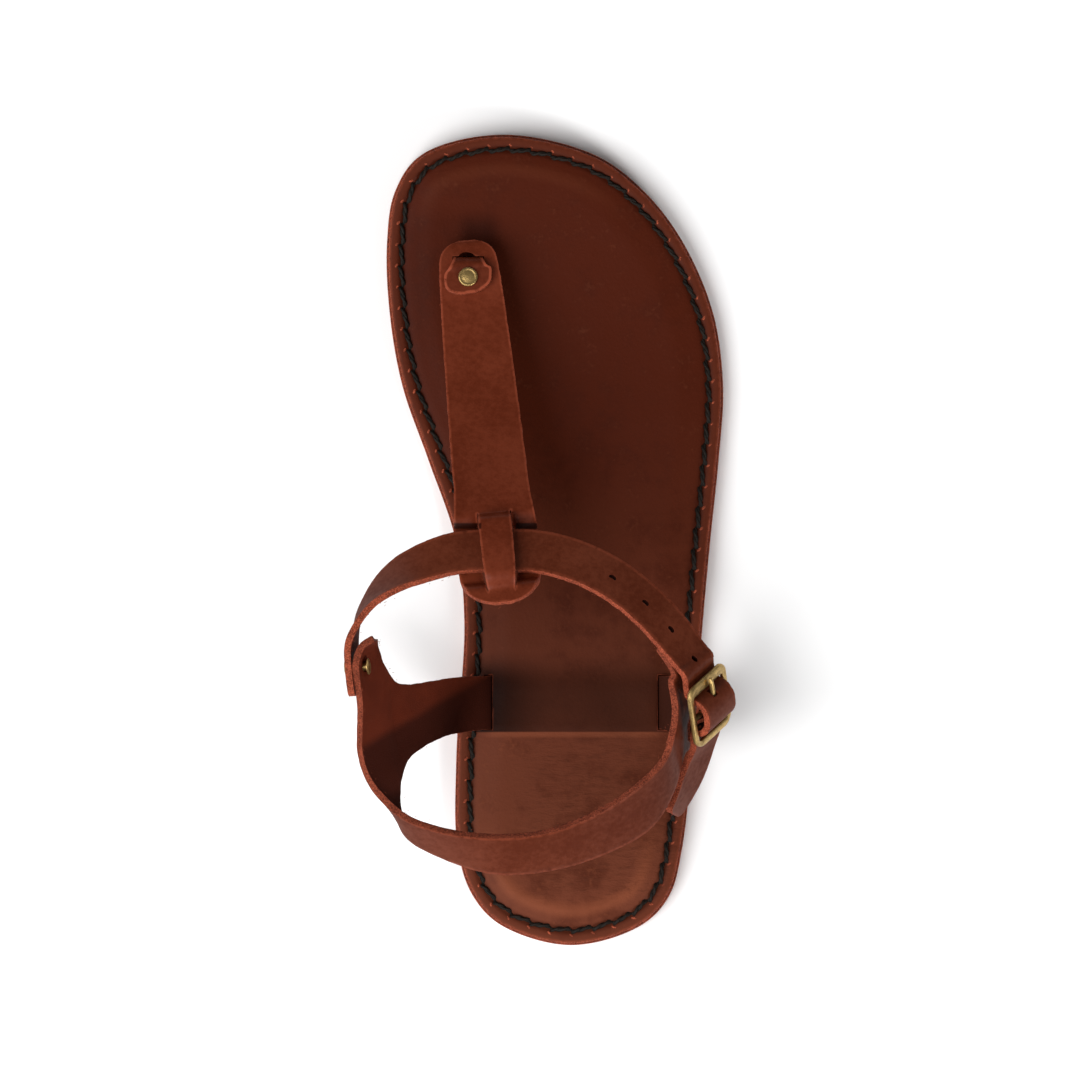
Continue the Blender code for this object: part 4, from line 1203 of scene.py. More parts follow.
def leather(name, builder, probe, outward, names, cutters, thickness=STRAP_THICKNESS,
            rounding=EDGE_SOFTNESS):
    """Thicken a sheet into a strap with softly rounded cut edges and loose fibres.

    The names are those of the finishes on its face, its back and its cut edge.
    """
    face_outwards(builder, probe, outward)
    measure_edges(builder)
    ragged_rim(builder)
    builder.normal_update()
    materials = finishes(*names)
    fuzz = place_piece(name.replace("leather", "fibres"), frayed(builder, thickness), materials[2:])
    dress(settle(fuzz), "strap_leather")
    item = place_piece(name, builder, materials)
    solid = item.modifiers.new("Thickness", "SOLIDIFY")
    solid.thickness = thickness
    solid.offset = 0.0
    solid.use_even_offset = True
    solid.material_offset = 1
    solid.material_offset_rim = 2
    rounded = item.modifiers.new("Rounded edges", "BEVEL")
    rounded.width = rounding
    rounded.segments = 2
    rounded.limit_method = "ANGLE"
    rounded.angle_limit = math.radians(50.0)
    rounded.use_clamp_overlap = True
    rounded.material = 2
    for shape in cutters:
        add_cut(item, shape)
    return settle(item)


def sole_outline():
    """The outsole's outline from the heel tip, anticlockwise."""
    medial, lateral = sole_sides(SOLE_STEPS)
    return [*lateral, *reversed(medial[1:-1])]


def seam_loop(step_count):
    """Even places along the stitch line, with the way along and the way outwards."""
    loop = inset(sole_outline(), SEAM_INSET)
    even = smooth_rows([tuple(point) for point in loop], step_count, True, 2)
    places = [Vector(point) for point in even]
    result = []
    for index, point in enumerate(places):
        along = (places[(index + 1) % step_count] - places[index - 1]).normalized()
        result.append((point, along, Vector((along.y, -along.x))))
    return result


def stitch_holes(sizes):
    """The holes' places along the seam, evenly spaced at about the wanted pitch."""
    places = [place for place, _, _ in seam_loop(400)]
    length = sum((a - b).length for a, b in zip(places, places[1:] + places[:1]))
    return seam_loop(round(length / sizes.stitch_pitch))


def bell(distance, spread):
    return math.exp(-(distance / spread) ** 2)


def insole_relief(x, y, from_edge):
    """How far the insole's face stands over its flat level."""
    rise = -RIM_DROP * (1.0 - smooth_step(from_edge / 0.0030)) ** 2
    rise -= SEAM_DEPTH * bell(from_edge - SEAM_INSET, SEAM_SPREAD)
    rise += SEAM_SWELL * smooth_step((from_edge - SEAM_INSET - 0.0006) / 0.0030)
    rise += INSOLE_CROWN * smooth_step((from_edge - DISH_INSET) / (CROWN_INSET - DISH_INSET))
    ridge = bell(from_edge - RIDGE_INSET, RIDGE_SPREAD)
    for height, start, run in (HEEL_RIDGE, TOE_RIDGE):
        rise += height * ridge * smooth_step((y - start) / run)
    along = smooth_step((y - BAND_HEEL_END) / 0.0007) * smooth_step((BAND_TOE_END - y) / 0.007)
    low, high = BAND_SIDES
    across = smooth_step((x - low + 0.004) / 0.004) * smooth_step((high + 0.004 - x) / 0.004)
    rise += BAND_RISE * along * across
    rise += UNEVENNESS * noise.noise(Vector((x, y, 0.0)) * 60.0)
    return rise


def sole_slab(name, rings, rungs, materials, puckers=None):
    """A closed slab of sole from rows of (inset, level, share of relief, finish)."""
    outline = sole_outline()
    tree = tree_of([point.to_3d() for point in outline])
    builder = bmesh.new()
    layer = builder.verts.layers.float.new("from_edge")

    def add(x, y, level, share):
        from_edge = tree.find((x, y, 0.0))[2]
        height = level + sole_rise(y)
        if share:
            height += share * insole_relief(x, y, from_edge)
            height -= share * PUCKER_DEPTH * bell(puckers.find((x, y, 0.0))[2], PUCKER_SPREAD)
        vertex = builder.verts.new((x, y, height))
        vertex[layer] = from_edge
        return vertex

    made = []
    for distance, level, share, _ in rings:
        made.append([add(point.x, point.y, level, share) for point in inset(outline, distance)])
    loft(builder, made, [row[3] for row in rings])
    for around, (_, level, share, finish) in ((made[0], rings[0]), (made[-1], rings[-1])):
        rows = []
        for index in range(1, SOLE_STEPS):
            first, last = around[index], around[-index]
            spots = [first.co.lerp(last.co, rung / rungs) for rung in range(1, rungs)]
            rows.append([first, *(add(spot.x, spot.y, level, share) for spot in spots), last])
        for tip, row in ((around[0], rows[0]), (around[SOLE_STEPS], rows[-1])):
            for first, second in zip(row, row[1:]):
                builder.faces.new((tip, first, second)).material_index = finish
        for face in sheet(builder, rows):
            face.material_index = finish
    bmesh.ops.recalc_face_normals(builder, faces=builder.faces)
    return place_piece(name, builder, materials)


def tube(builder, centres, radii, sides=6):
    """A round tube through places, closed at both ends."""
    rings = []
    side = way_at(centres, 0).orthogonal()
    for index, (centre, radius) in enumerate(zip(centres, radii)):
        along = way_at(centres, index)
        side = (side - along * side.dot(along)).normalized()
        rings.append(ring(builder, centre, side * radius, along.cross(side) * radius, sides))
    loft(builder, rings)
    close_ends(builder, rings)


def stitch_run(builder, holes, sizes, level, sign, swell):
    """Two-ply stitches from hole to hole, each running from the outer to the inner side.

    The sign is 1 on the insole's face and -1 under the outsole.
    """
    thick = sizes.thread_thickness
    for (start, _, out), (end, _, end_out) in zip(holes, [*holes[1:], holes[0]]):
        begin = start + out * sizes.stitch_slant
        finish = end - end_out * sizes.stitch_slant
        wander = 0.00018 * noise.noise(Vector((start.x, start.y, 0.3)) * 300.0)
        middle = []
        for step in range(STITCH_STEPS + 1):
            share = step / STITCH_STEPS
            place = begin.lerp(finish, share) + out * wander * math.sin(math.pi * share)
            arch = math.sin(math.pi * share) ** 0.45
            height = level + sole_rise(place.y) + sign * (swell * arch - thick * 0.75)
            middle.append(Vector((place.x, place.y, height)))
        for ply in (0, 1):
            centres = []
            for step, centre in enumerate(middle):
                along = way_at(middle, step)
                side = along.cross(Vector((0, 0, 1))).normalized()
                turn = math.pi * (ply + PLY_TURNS * step / STITCH_STEPS)
                centres.append(centre + thick * PLY_OFFSET * (
                    side * math.cos(turn) + side.cross(along) * math.sin(turn)))
            tube(builder, centres, [thick * PLY_RADIUS] * len(centres))


def nicks(builder, holes, sizes):
    """The small lip of leather that each stitch lifts on the outer side of its hole."""
    for place, along, out in holes:
        size = NICK_SIZE * (1.0 + 0.35 * noise.noise(Vector((place.x, place.y, 0.7)) * 260.0))
        spot = place + out * (sizes.stitch_slant + sizes.thread_thickness * 0.62)
        level = INSOLE_TOP + sole_rise(place.y) + insole_relief(place.x, place.y, 0.0036)
        slope = (along * 0.8 + out * 0.6).normalized()
        cross = Vector((slope.y, -slope.x))
        rings = []
        for height, width in ((0.0, 1.0), (0.55, 0.80), (0.85, 0.40)):
            centre = Vector((spot.x, spot.y, level - 0.0002 + height * size * 0.75))
            rings.append(ring(builder, centre, slope.to_3d() * size * 1.15 * width,
                              cross.to_3d() * size * 0.55 * width, 10))
        loft(builder, rings)
        close_ends(builder, rings)


def make_outsole():
    top = OUTSOLE_THICKNESS
    rings = (
        (CROWN_INSET, 0.0, 0.0, 1),
        (SEAM_INSET + 0.0012, 0.0, 0.0, 1),
        (SEAM_INSET + 0.0008, 0.0003, 0.0, 1),
        (SEAM_INSET, UNDER_GROOVE, 0.0, 1),
        (SEAM_INSET - 0.0008, 0.0003, 0.0, 1),
        (SEAM_INSET - 0.0012, 0.0, 0.0, 1),
        (0.0016, 0.0, 0.0, 1),
        (EDGE_ROUND, 0.0001, 0.0, 0),
        (EDGE_ROUND * 0.3, EDGE_ROUND * 0.4, 0.0, 0),
        (0.0, EDGE_ROUND, 0.0, 0),
        (0.0, top * 0.5, 0.0, 0),
        (0.0, top - 0.0005, 0.0, 0),
        (0.00016, top - 0.00016, 0.0, 2),
        (0.0005, top, 0.0, 2),
        (CROWN_INSET, top, 0.0, 2),
    )
    materials = finishes("sole_edge", "sole_underside", "cut_edge")
    return settle(sole_slab("outsole_leather", rings, 8, materials), 60.0)


def make_insole(holes):
    base, top, step = INSOLE_BASE, INSOLE_TOP, INSOLE_STEP
    rings = [
        (CROWN_INSET, base, 0.0, 1),
        (step + 0.0003, base, 0.0, 1),
        (step, base + 0.0003, 0.0, 1),
        (step, base + INSOLE_THICKNESS * 0.5, 0.0, 1),
        (step, top - 0.0007, 0.0, 1),
        (step + 0.00012, top - 0.0004, 0.6, 2),
        (step + 0.00036, top - 0.0001, 1.0, 0),
    ]
    rings += [(distance, top, 1.0, 0) for distance in (*FACE_INSETS, CROWN_INSET)]
    materials = finishes("insole_grain", "sole_edge", "cut_edge")
    puckers = tree_of([place.to_3d() for place, _, _ in holes])
    item = sole_slab("insole_leather", rings, SOLE_RUNGS, materials, puckers)
    for name, place, width, length in (("medial_slit", MEDIAL_SLIT, STRAP_THICKNESS, LEG_WIDTH),
                                       ("lateral_slit", LATERAL_SLIT, STRAP_THICKNESS, LEG_WIDTH),
                                       ("post_slit", POST_PLACE, POST_WIDTH, STRAP_THICKNESS)):
        spot = on_sole(*place)
        level = INSOLE_BASE + INSOLE_THICKNESS / 2 + sole_rise(spot.y)
        size = (width + SLOT_ROOM, length + SLOT_ROOM, 4 * INSOLE_THICKNESS)
        add_cut(item, slot_cutter(name, size, Matrix.Translation((*spot, level))))
    return settle(item, 50.0)


def rounded_end(way_in, narrow):
    """The share of its width that a strap has, some way into its rounded end."""
    return narrow + (1.0 - narrow) * math.sqrt(max(0.0, 1.0 - (1.0 - min(1.0, way_in)) ** 2))


def make_ankle_strap():
    frames = ankle_frames(ANKLE_STEPS)
    last = len(frames) - 1
    rows = []
    for index, (centre, _, width, _, size) in enumerate(frames):
        size *= rounded_end(index / (0.010 * last), 0.62)
        size *= rounded_end((last - index) / (0.012 * last), 0.55)
        rows.append([centre + width * size * share
                     for share in (-0.5, -0.46, -0.40, -0.25, -0.1, 0.1, 0.25, 0.40, 0.46, 0.5)])
    builder = bmesh.new()
    sheet(builder, raise_rows(builder, rows))
    _, along, across, out = buckle_frame()
    half = BUCKLE_LENGTH / 2
    size = (PRONG_SLOT * half, PRONG_WIRE + SLOT_ROOM, PRONG_SLOT_DEPTH)
    spot = in_buckle(PRONG_SLOT_AT[0] * half, 0.0, PRONG_SLOT_AT[1])
    cutters = [slot_cutter("prong_hole", size, frame_at(spot, along, across, out)),
               rivet_hole("medial_hole", medial_rivet_frame())]
    free_part = frames[ANKLE_STEPS // 4:3 * ANKLE_STEPS // 4]
    for number, place in enumerate(STRAP_HOLES):
        near = min(free_part, key=lambda row: (row[0].xy - Vector(place)).length)
        matrix = frame_at(*near[:4]) @ Matrix.Diagonal((1.25, 0.8, 1, 1))
        cutters.append(hole_cutter(f"free_hole_{number}", HOLE_WIDTH, matrix,
                                   finishes("hole_wall")))
    probe, _, _, outward, _ = free_part[0]
    return leather("ankle_strap_leather", builder, probe, outward,
                   ("collar_grain", "leather_flesh", "bright_edge"), cutters)


def add_leg(builder, lower_edge, table, slit):
    """One leg of the heel strap, from the vertices of the band's lower edge into its slit."""
    edges = leg_rows(table, slit)
    start, end = (min(range(len(lower_edge)), key=lambda i: (lower_edge[i].co - corner).length)
                  for corner in (Vector(edges[0][:3]), Vector(edges[0][3:])))
    turn = 1 if end > start else -1
    reach_out = BAND_STEPS // 64
    first = [lower_edge[index] for index in
             range(start - turn * reach_out, end + turn * (1 + reach_out), turn)]
    places = [vertex.co.copy() for vertex in first]
    reach = [0.0]
    for one, other in zip(places, places[1:]):
        reach.append(reach[-1] + (other - one).length)
    shares = [length / reach[-1] for length in reach]
    bends = [place - places[0].lerp(places[-1], share) for place, share in zip(places, shares)]
    grid = [first]
    for number, row in enumerate(smooth_rows(edges, LEG_FINE_STEPS, place=6)):
        ahead, behind = Vector(row[:3]), Vector(row[3:])
        fade = max(0.0, 1.0 - (number + 1) / (0.4 * LEG_FINE_STEPS)) ** 2
        grid.append([builder.verts.new(ahead.lerp(behind, share) + bend * fade)
                     for share, bend in zip(shares, bends)])
    sheet(builder, grid)


def make_heel_strap():
    rows = []
    for row in smooth_rows(heel_band_rows(), BAND_STEPS, place=9):
        top, middle, low = Vector(row[:3]), Vector(row[3:6]), Vector(row[6:])
        rows.append([top * (1 - share) * (1 - 2 * share) + middle * 4 * share * (1 - share)
                     + low * share * (2 * share - 1)
                     for share in (0.0, 0.05, 0.15, 0.3, 0.45, 0.6, 0.75, 0.88, 1.0)])
    builder = bmesh.new()
    made = raise_rows(builder, rows)
    sheet(builder, made)
    lower_edge = [row[-1] for row in made]
    add_leg(builder, lower_edge, MEDIAL_LEG_ROWS, MEDIAL_SLIT)
    add_leg(builder, lower_edge, LATERAL_LEG_ROWS, LATERAL_SLIT)
    return leather("heel_strap_leather", builder, rows[BAND_STEPS // 2][4], Vector((0, -1, 0)),
                   ("collar_grain", "leather_flesh", "cut_edge"),
                   [rivet_hole("medial_tab_hole", medial_rivet_frame())])


def make_instep_strap():
    frames = instep_frames(INSTEP_STEPS)
    crossing = collar_point(*CROSSING)
    builder = bmesh.new()
    inner = BRIDGE_SHARE / 2
    outer = inner + FLAP_CUT
    made = []
    for centre, _, width, out, size in frames:
        lift = weave((centre - crossing).length) * (LAYER + WEAVE_ROOM)
        slit = lift > 1e-6
        line = inner if slit else outer
        parts = []
        for shares, side in (((-0.5, -0.46, -0.38, -0.30, -outer), -1.0),
                             ((-line, -0.1, 0.0, 0.1, line), 1.0),
                             ((outer, 0.30, 0.38, 0.46, 0.5), -1.0)):
            parts.append([builder.verts.new(centre + width * size * share + out * lift * side)
                          for share in shares])
        left, middle, right = parts
        if not slit:
            for spare in (middle[0], middle[-1]):
                builder.verts.remove(spare)
            middle = [left[-1], *middle[1:-1], right[0]]
        made.append((left, middle, right))
    for part in range(3):
        sheet(builder, [row[part] for row in made])
    size = (POST_WIDTH + SLOT_ROOM, STRAP_THICKNESS + SLOT_ROOM, CUT_DEPTH)
    cutters = [slot_cutter("strap_slot", size, Matrix.Translation(instep_line()[0])),
               hole_cutter("slot_mouth", SLOT_MOUTH, slot_mouth_frame()),
               rivet_hole("post_rivet_hole", toe_rivet_frame())]
    probe, _, _, outward, _ = frames[INSTEP_STEPS // 3]
    return leather("instep_strap_leather", builder, probe, outward,
                   ("strap_grain", "leather_flesh", "bright_edge"), cutters)


def make_toe_post():
    start, _ = instep_line()
    spot = toe_rivet_frame()
    along = spot.col[0].to_3d()
    above = spot.translation + spot.col[2].to_3d() * LAYER / 2
    foot = INSOLE_BASE + GAP + sole_rise(start.y)
    rise = start.z - foot
    rows = [(start.x, start.y, foot + rise * share, POST_WIDTH, 0.0)
            for share in (0.0, 0.4, 0.8, 1.0)]
    for back, high, width, turn in POST_BEND_ROWS:
        rows.append((start.x, start.y - back * LAYER, start.z + high * LAYER,
                     width * POST_WIDTH, turn))
    for share, width, turn in POST_TAB_ROWS:
        point = above + along * share * TAB_LENGTH
        rows.append((above.x, point.y, point.z, width * TAB_WIDTH, turn))
    grid = [[Vector((x + width * share, y + width * share * turn, z))
             for share in (-0.5, -0.42, -0.25, 0.0, 0.25, 0.42, 0.5)]
            for x, y, z, width, turn in smooth_rows(rows, POST_FINE_STEPS)]
    builder = bmesh.new()
    sheet(builder, raise_rows(builder, grid))
    return leather("toe_tab_leather", builder, grid[2][3], Vector((0, 1, 0)),
                   ("tab_grain", "leather_flesh", "bright_edge"), [rivet_hole("tab_hole", spot)])


def make_chape():
    half = BUCKLE_LENGTH / 2
    bend = CENTRE_BAR / 2 + GAP + CHAPE_THICKNESS / 2
    rows = [(share * half, layers * LAYER) for share, layers in CHAPE_ABOVE_ROWS]
    rows += [(side * bend, up * bend) for side, up in CHAPE_FOLD_ROWS]
    rows += [(share * half, layers * LAYER) for share, layers in CHAPE_BELOW_ROWS]
    grid = [[in_buckle(x, CHAPE_WIDTH * share, height)
             for share in (-0.5, -0.4, -0.2, 0.2, 0.4, 0.5)]
            for x, height in smooth_rows(rows, CHAPE_STEPS, place=2)]
    builder = bmesh.new()
    sheet(builder, raise_rows(builder, grid))
    _, along, across, out = buckle_frame()
    reach = 4 * bend
    slot = slot_cutter("chape_slot", (reach, PRONG_WIRE + 3 * GAP + SLOT_ROOM, 2 * reach),
                       frame_at(in_buckle(-reach / 2 + 1.7 * bend, 0.0, 0.0), along, across, out))
    return leather("chape_leather", builder, grid[0][2], out,
                   ("collar_grain", "leather_flesh", "cut_edge"), [slot],
                   CHAPE_THICKNESS, CHAPE_SOFTNESS)


def make_frame():
    """The buckle's frame: a rounded rectangle whose front bar is flat and broad."""
    half = BUCKLE_LENGTH / 2
    inner_width = ANKLE_WIDTH / 2 + BUCKLE_SIDE_ROOM
    outer = rounded_corners(-half, half, inner_width + WIRE, CORNER, REAR_CORNER, 10)
    inner = rounded_corners(-half + FRONT_BAR, half - REAR_BAR, inner_width,
                            INNER_CORNER, REAR_INNER_CORNER, 10)
    matrix = frame_at(*buckle_frame())
    builder = bmesh.new()
    rings = []
    for (outer_x, outer_y), (inner_x, inner_y) in zip(outer, inner):
        middle = Vector(((outer_x + inner_x) / 2, (outer_y + inner_y) / 2, 0.0))
        reach = Vector((outer_x - inner_x, outer_y - inner_y, 0.0)) / 2
        around = []
        for corner in range(METAL_SIDES):
            angle = 2 * math.pi * corner / METAL_SIDES
            side, up = (math.copysign(abs(turn) ** FRAME_SQUARENESS, turn)
                        for turn in (math.cos(angle), math.sin(angle)))
            place = middle + reach * side + Vector((0, 0, up * PLATE * 0.5))
            around.append(builder.verts.new(matrix @ place))
        rings.append(around)
    loft(builder, [*rings, rings[0]])
    bmesh.ops.recalc_face_normals(builder, faces=builder.faces)
    bar = [matrix @ Vector((0.0, (inner_width + WIRE * 0.3) * share, 0.0))
           for share in (-1.0, -0.5, 0.0, 0.5, 1.0)]
    tube(builder, bar, [CENTRE_BAR / 2] * len(bar), METAL_SIDES)
    return settle(place_piece("buckle_brass", builder, finishes("aged_brass")), 50.0)


def make_prong():
    half = BUCKLE_LENGTH / 2
    thick = PRONG_WIRE / 2
    hook = CENTRE_BAR / 2 + GAP + thick * HOOK_SHARE
    lift = PLATE / 2 + GAP + thick
    rows = []
    for angle in (200, 250, 300, 350, 40, 90, 130):
        turn = math.radians(angle)
        rows.append((hook * math.cos(turn), hook * math.sin(turn), HOOK_SHARE))
    rows += [(along * half, lift + rise * PRONG_WIRE, share) for along, rise, share in PRONG_ROWS]
    even = smooth_rows(rows, PRONG_STEPS, place=2)
    builder = bmesh.new()
    tube(builder, [in_buckle(x, 0.0, height) for x, height, _ in even],
         [thick * share for _, _, share in even], 12)
    return settle(place_piece("prong_brass", builder, finishes("aged_brass")), 50.0)


def make_rivet(name, matrix, grip):
    """A cap rivet: a dished cap with a rolled rim outside, a flat head inside."""
    half = grip / 2 + GAP
    head = RIVET_HEAD / 2
    profile = [(share * head, -half - height * RIVET_DOME) for share, height in RIVET_HEAD_ROWS]
    profile += [(RIVET_SHANK / 2, -half), (RIVET_SHANK / 2, half)]
    profile += [(share * head, half + height * RIVET_DOME) for share, height in RIVET_CAP_ROWS]
    side, up, out = (matrix.col[axis].to_3d() for axis in range(3))
    builder = bmesh.new()
    rings = [ring(builder, matrix.translation + out * height, side * radius, up * radius,
                  RIVET_SIDES) for radius, height in profile[1:-1]]
    loft(builder, rings)
    for around, (_, height) in ((rings[0], profile[0]), (rings[-1], profile[-1])):
        fan(builder, around, builder.verts.new(matrix.translation + out * height))
    bmesh.ops.recalc_face_normals(builder, faces=builder.faces)
    return settle(place_piece(name, builder, finishes("aged_brass")), 45.0)


def colour(name, description, default):
    return FloatVectorProperty(name=name, description=description, default=default,
                               subtype="COLOR", min=0.0, max=1.0)


def length(name, description, default, low, high):
    return FloatProperty(name=name, description=description, default=default,
                         min=low, max=high, unit="LENGTH", precision=5)


class SandalSizes(bpy.types.PropertyGroup):
    """Sizes of the dressing that can be changed without the solids."""

    stitch_pitch: length("Stitch pitch", "Distance from one stitch hole to the next",
                         0.0065, 0.003, 0.012)
    stitch_slant: length("Stitch slant", "How far each stitch's ends stand off the seam line",
                         0.00060, 0.0, 0.002)
    thread_thickness: length("Thread thickness", "Thickness of the waxed thread",
                             0.00148, 0.0005, 0.003)
    floor_width: length("Floor width", "Width of the pale floor", 6.0, 1.0, 20.0)
    light_turn: IntProperty(
        name="Light turn", description="Where the main light stands, in degrees from the toe's way",
        default=242, min=0, max=360)


class SandalColours(bpy.types.PropertyGroup):
    """Colours of the leathers, the thread, the brass and the floor."""

    strap: colour("Strap", "Grain face of the T strap", (0.116, 0.0190, 0.0066))
    strap_worn: colour("Strap, worn", "The same where it is rubbed lighter",
                       (0.143, 0.0262, 0.0102))
    collar: colour("Collar", "Grain face of the straps round the ankle",
                   (0.088, 0.0165, 0.0062))
    collar_worn: colour("Collar, worn", "The same where it is rubbed lighter",
                        (0.114, 0.0245, 0.0102))
    flesh: colour("Flesh", "Back of the straps", (0.130, 0.0195, 0.0064))
    edge: colour("Cut edge", "Lighter fibres of a cut edge", (0.250, 0.052, 0.024))
    edge_dark: colour("Cut edge, dark", "Darker fibres of a cut edge", (0.072, 0.0125, 0.0045))
    insole_toe: colour("Insole toe", "Insole at the toe", (0.057, 0.0086, 0.0026))
    insole_heel: colour("Insole heel", "Insole at the heel", (0.120, 0.0310, 0.0150))
    # Used for rubbed pale patches and for painted highlights on the insole
    insole_wear_and_highlight: colour("Insole rubbed", "Insole where it is rubbed pale",
                          (0.205, 0.056, 0.025))
    insole_border: colour("Insole border", "Insole outside the seam", (0.090, 0.0190, 0.0085))
    # Painted shade: the insole's band, also laid on the lateral flesh
    insole_band_shadow: colour("Insole band", "Insole over the hidden strap",
                        (0.036, 0.0086, 0.0038))
    underside: colour("Underside", "Underside of the outsole", (0.200, 0.085, 0.045))
    thread: colour("Thread", "Waxed thread", (0.0105, 0.0065, 0.0040))
    brass: colour("Brass", "Rubbed brass", (0.500, 0.340, 0.130))
    patina: colour("Patina", "Brown patina in the brass", (0.150, 0.096, 0.040))
    floor: colour("Floor", "Pale studio floor", (0.95, 0.95, 0.95))


class SANDAL_OT_sole(bpy.types.Operator):
    """Build the outsole with its stitch groove underneath"""

    bl_idname = "sandal.sole"
    bl_label = "Outsole"

    def execute(self, context):
        dress(make_outsole(), "sole_leather", "outsole")
        return {"FINISHED"}


class SANDAL_OT_insole(bpy.types.Operator):
    """Build the insole with its stitch valley and its slits"""

    bl_idname = "sandal.insole"
    bl_label = "Insole"

    def execute(self, context):
        holes = stitch_holes(context.scene.sandal_sizes)
        dress(make_insole(holes), "insole_leather", "insole")
        return {"FINISHED"}


class SANDAL_OT_stitching(bpy.types.Operator):
    """Sew the insole to the outsole with waxed thread"""

    bl_idname = "sandal.stitching"
    bl_label = "Stitching"

    def execute(self, context):
        sizes = context.scene.sandal_sizes
        holes = stitch_holes(sizes)
        for name, slot, level, sign, swell in (
                ("stitches_on_top", "insole_leather", INSOLE_TOP, 1.0, 0.85),
                ("stitches_underneath", "sole_leather", UNDER_GROOVE, -1.0, 0.72)):
            builder = bmesh.new()
            stitch_run(builder, holes, sizes, level, sign, swell * sizes.thread_thickness)
            dress(settle(place_piece(name, builder, finishes("waxed_thread")), 60.0), slot)
        builder = bmesh.new()
        nicks(builder, holes, sizes)
        item = place_piece("stitch_nicks", builder, finishes("bright_edge"))
        dress(settle(item, 60.0), "insole_leather")
        return {"FINISHED"}


class SANDAL_OT_instep_strap(bpy.types.Operator):
    """Cut the T strap with its two slits and its bridge"""

    bl_idname = "sandal.instep_strap"
    bl_label = "Instep strap"

    def execute(self, context):
        dress(make_instep_strap(), "strap_leather", "instep_strap")
        return {"FINISHED"}


class SANDAL_OT_toe_post(bpy.types.Operator):
    """Cut the toe post and fold its tab over the T strap"""

    bl_idname = "sandal.toe_post"
    bl_label = "Toe post"

    def execute(self, context):
        dress(make_toe_post(), "strap_leather", "toe_post")
        return {"FINISHED"}


class SANDAL_OT_ankle_strap(bpy.types.Operator):
    """Cut the ankle strap with its holes and thread it through the buckle"""

    bl_idname = "sandal.ankle_strap"
    bl_label = "Ankle strap"

    def execute(self, context):
        dress(make_ankle_strap(), "strap_leather", "ankle_strap")
        return {"FINISHED"}


class SANDAL_OT_heel_strap(bpy.types.Operator):
    """Cut the heel strap with its tabs and its two legs"""

    bl_idname = "sandal.heel_strap"
    bl_label = "Heel strap"

    def execute(self, context):
        dress(make_heel_strap(), "strap_leather", "heel_strap")
        return {"FINISHED"}


class SANDAL_OT_buckle(bpy.types.Operator):
    """Cast the buckle, bend its prong and fold the chape round its bar"""

    bl_idname = "sandal.buckle"
    bl_label = "Buckle"

    def execute(self, context):
        dress(make_chape(), "strap_leather", "buckle_chape")
        dress(make_frame(), "antique_brass", "buckle_frame")
        dress(make_prong(), "antique_brass", "buckle_prong")
        return {"FINISHED"}


class SANDAL_OT_rivets(bpy.types.Operator):
    """Set the cap rivets at the toe tab and at the medial tab"""

    bl_idname = "sandal.rivets"
    bl_label = "Rivets"

    def execute(self, context):
        grip = STRAP_THICKNESS + LAYER
        toe = make_rivet("rivet_cap_toe", toe_rivet_frame(), grip)
        dress(toe, "antique_brass", "rivet_toe")
        medial = make_rivet("rivet_cap_medial", medial_rivet_frame(), grip + RIVET_SLACK)
        dress(medial, "antique_brass", "rivet_medial")
        return {"FINISHED"}


class SANDAL_OT_stage(bpy.types.Operator):
    """Lay the pale floor, hang the soft lights and set the camera above"""

    bl_idname = "sandal.stage"
    bl_label = "Stage"

    def execute(self, context):
        scene = context.scene
        lay_floor(scene)
        hang_light("main_light", turn=scene.sandal_sizes.light_turn, height=50.0, distance=2.4,
                   size=2.2, power=84.0, shine=1.0)
        hang_light("heel_light", turn=140.0, height=33.0, distance=2.2, size=0.6, power=24.0,
                   shine=0.25)
        hang_light("toe_light", turn=40.0, height=50.0, distance=2.4, size=1.6, power=2.0,
                   shine=1.0)
        world = bpy.data.worlds.new("studio")
        world.use_nodes = True
        background = world.node_tree.nodes["Background"]
        background.inputs["Color"].default_value = (1, 1, 1, 1)
        background.inputs["Strength"].default_value = WORLD_STRENGTH
        scene.world = world
        scene.view_settings.view_transform = "Standard"
        set_camera(scene)
        return {"FINISHED"}


def lay_floor(scene):
    finish = Finish("pale_floor", {"Base Color": scene.sandal_colours.floor, "Roughness": 0.9,
                                   "Specular IOR Level": 0.2})
    half = scene.sandal_sizes.floor_width / 2
    builder = bmesh.new()
    builder.faces.new([builder.verts.new((x * half, y * half, FLOOR_LEVEL))
                       for x, y in ((-1, -1), (1, -1), (1, 1), (-1, 1))])
    place_piece("floor", builder, (finish.material,))


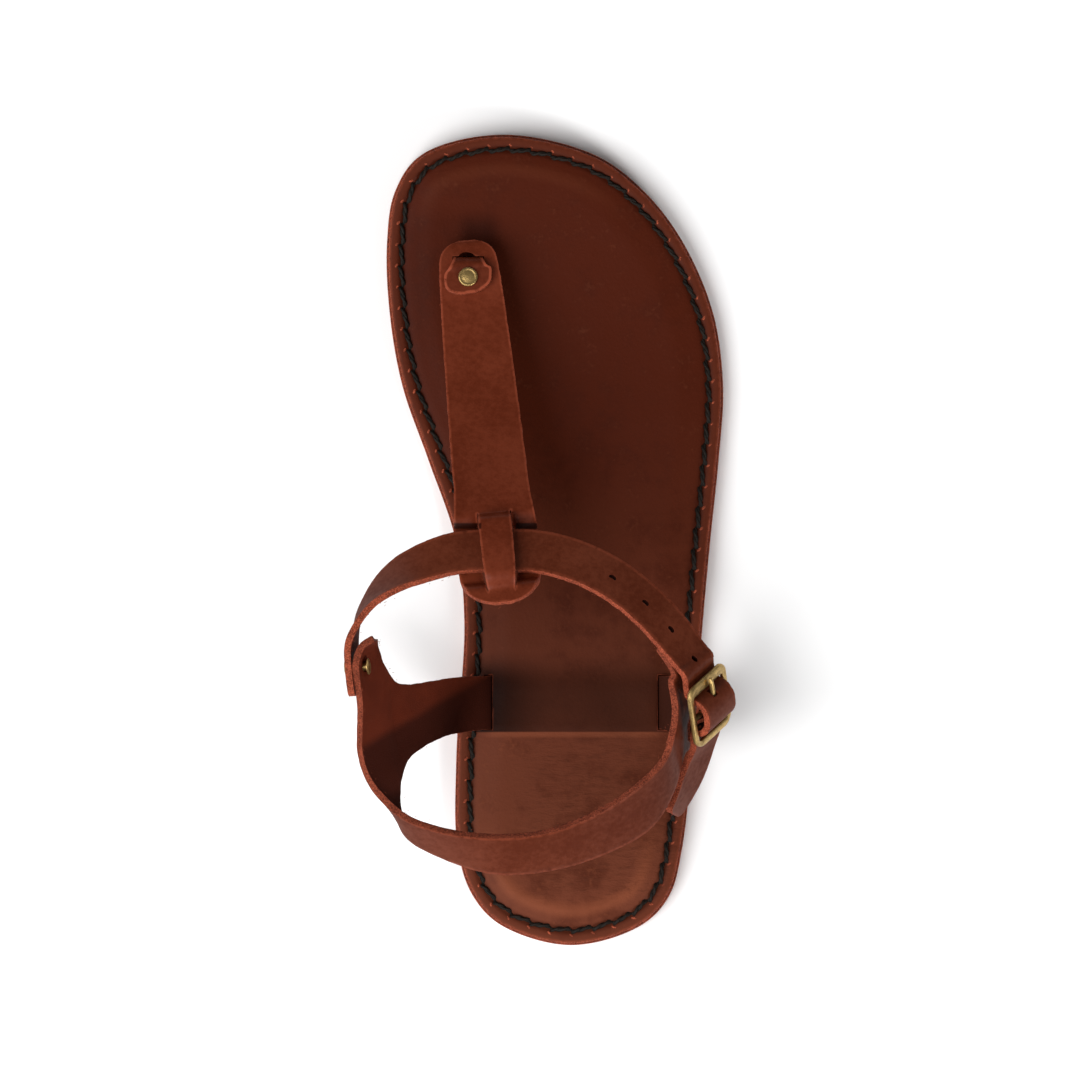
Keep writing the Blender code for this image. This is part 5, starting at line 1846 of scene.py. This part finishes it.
def hang_light(name, turn, height, distance, size, power, shine):
    """A square soft light that looks at the shoe: turn from +Y and height in degrees."""
    light = bpy.data.lights.new(name, "AREA")
    light.size = size
    light.energy = power
    light.specular_factor = shine
    item = bpy.data.objects.new(name, light)
    bpy.context.scene.collection.objects.link(item)
    around, up = math.radians(turn), math.radians(height)
    way = Vector((math.sin(around) * math.cos(up), math.cos(around) * math.cos(up), math.sin(up)))
    item.location = way * distance
    item.rotation_euler = way.to_track_quat("Z", "Y").to_euler()
    item.visible_camera = False


def set_camera(scene):
    """Stand the camera straight above the shoe's middle, with the toe at the top."""
    low, high = (Vector(corner) for corner in CAD_BOX)
    middle = (low + high) / 2
    camera = bpy.data.cameras.new("camera")
    camera.sensor_width = SENSOR_WIDTH
    camera.lens = SENSOR_WIDTH * CAMERA_HEIGHT / PICTURE_WIDTH
    item = bpy.data.objects.new("camera", camera)
    item.location = (middle.x, middle.y, CAMERA_HEIGHT)
    scene.collection.objects.link(item)
    scene.camera = item


class SANDAL_PT_panel(bpy.types.Panel):
    """Lists the sandal's sizes, colours and pieces"""

    bl_idname = "SANDAL_PT_panel"
    bl_label = "Sandal"
    bl_space_type = "VIEW_3D"
    bl_region_type = "UI"
    bl_category = "Sandal"

    def draw(self, context):
        column = self.layout.column(align=True)
        for group in (context.scene.sandal_sizes, context.scene.sandal_colours):
            for name in group.__annotations__:
                column.prop(group, name)
        for piece in PIECES:
            column.operator(piece.bl_idname)


PIECES = (SANDAL_OT_sole, SANDAL_OT_insole, SANDAL_OT_stitching, SANDAL_OT_instep_strap,
          SANDAL_OT_toe_post, SANDAL_OT_ankle_strap, SANDAL_OT_heel_strap, SANDAL_OT_buckle,
          SANDAL_OT_rivets, SANDAL_OT_stage)
CLASSES = (SandalSizes, SandalColours, *PIECES, SANDAL_PT_panel)


def register():
    for item in CLASSES:
        bpy.utils.register_class(item)
    bpy.types.Scene.sandal_sizes = PointerProperty(type=SandalSizes)
    bpy.types.Scene.sandal_colours = PointerProperty(type=SandalColours)


def unregister():
    del bpy.types.Scene.sandal_colours
    del bpy.types.Scene.sandal_sizes
    for item in reversed(CLASSES):
        bpy.utils.unregister_class(item)


def main():
    register()
    for piece in PIECES:
        family, name = piece.bl_idname.split(".")
        getattr(getattr(bpy.ops, family), name)()


if __name__ == "__main__":
    main()
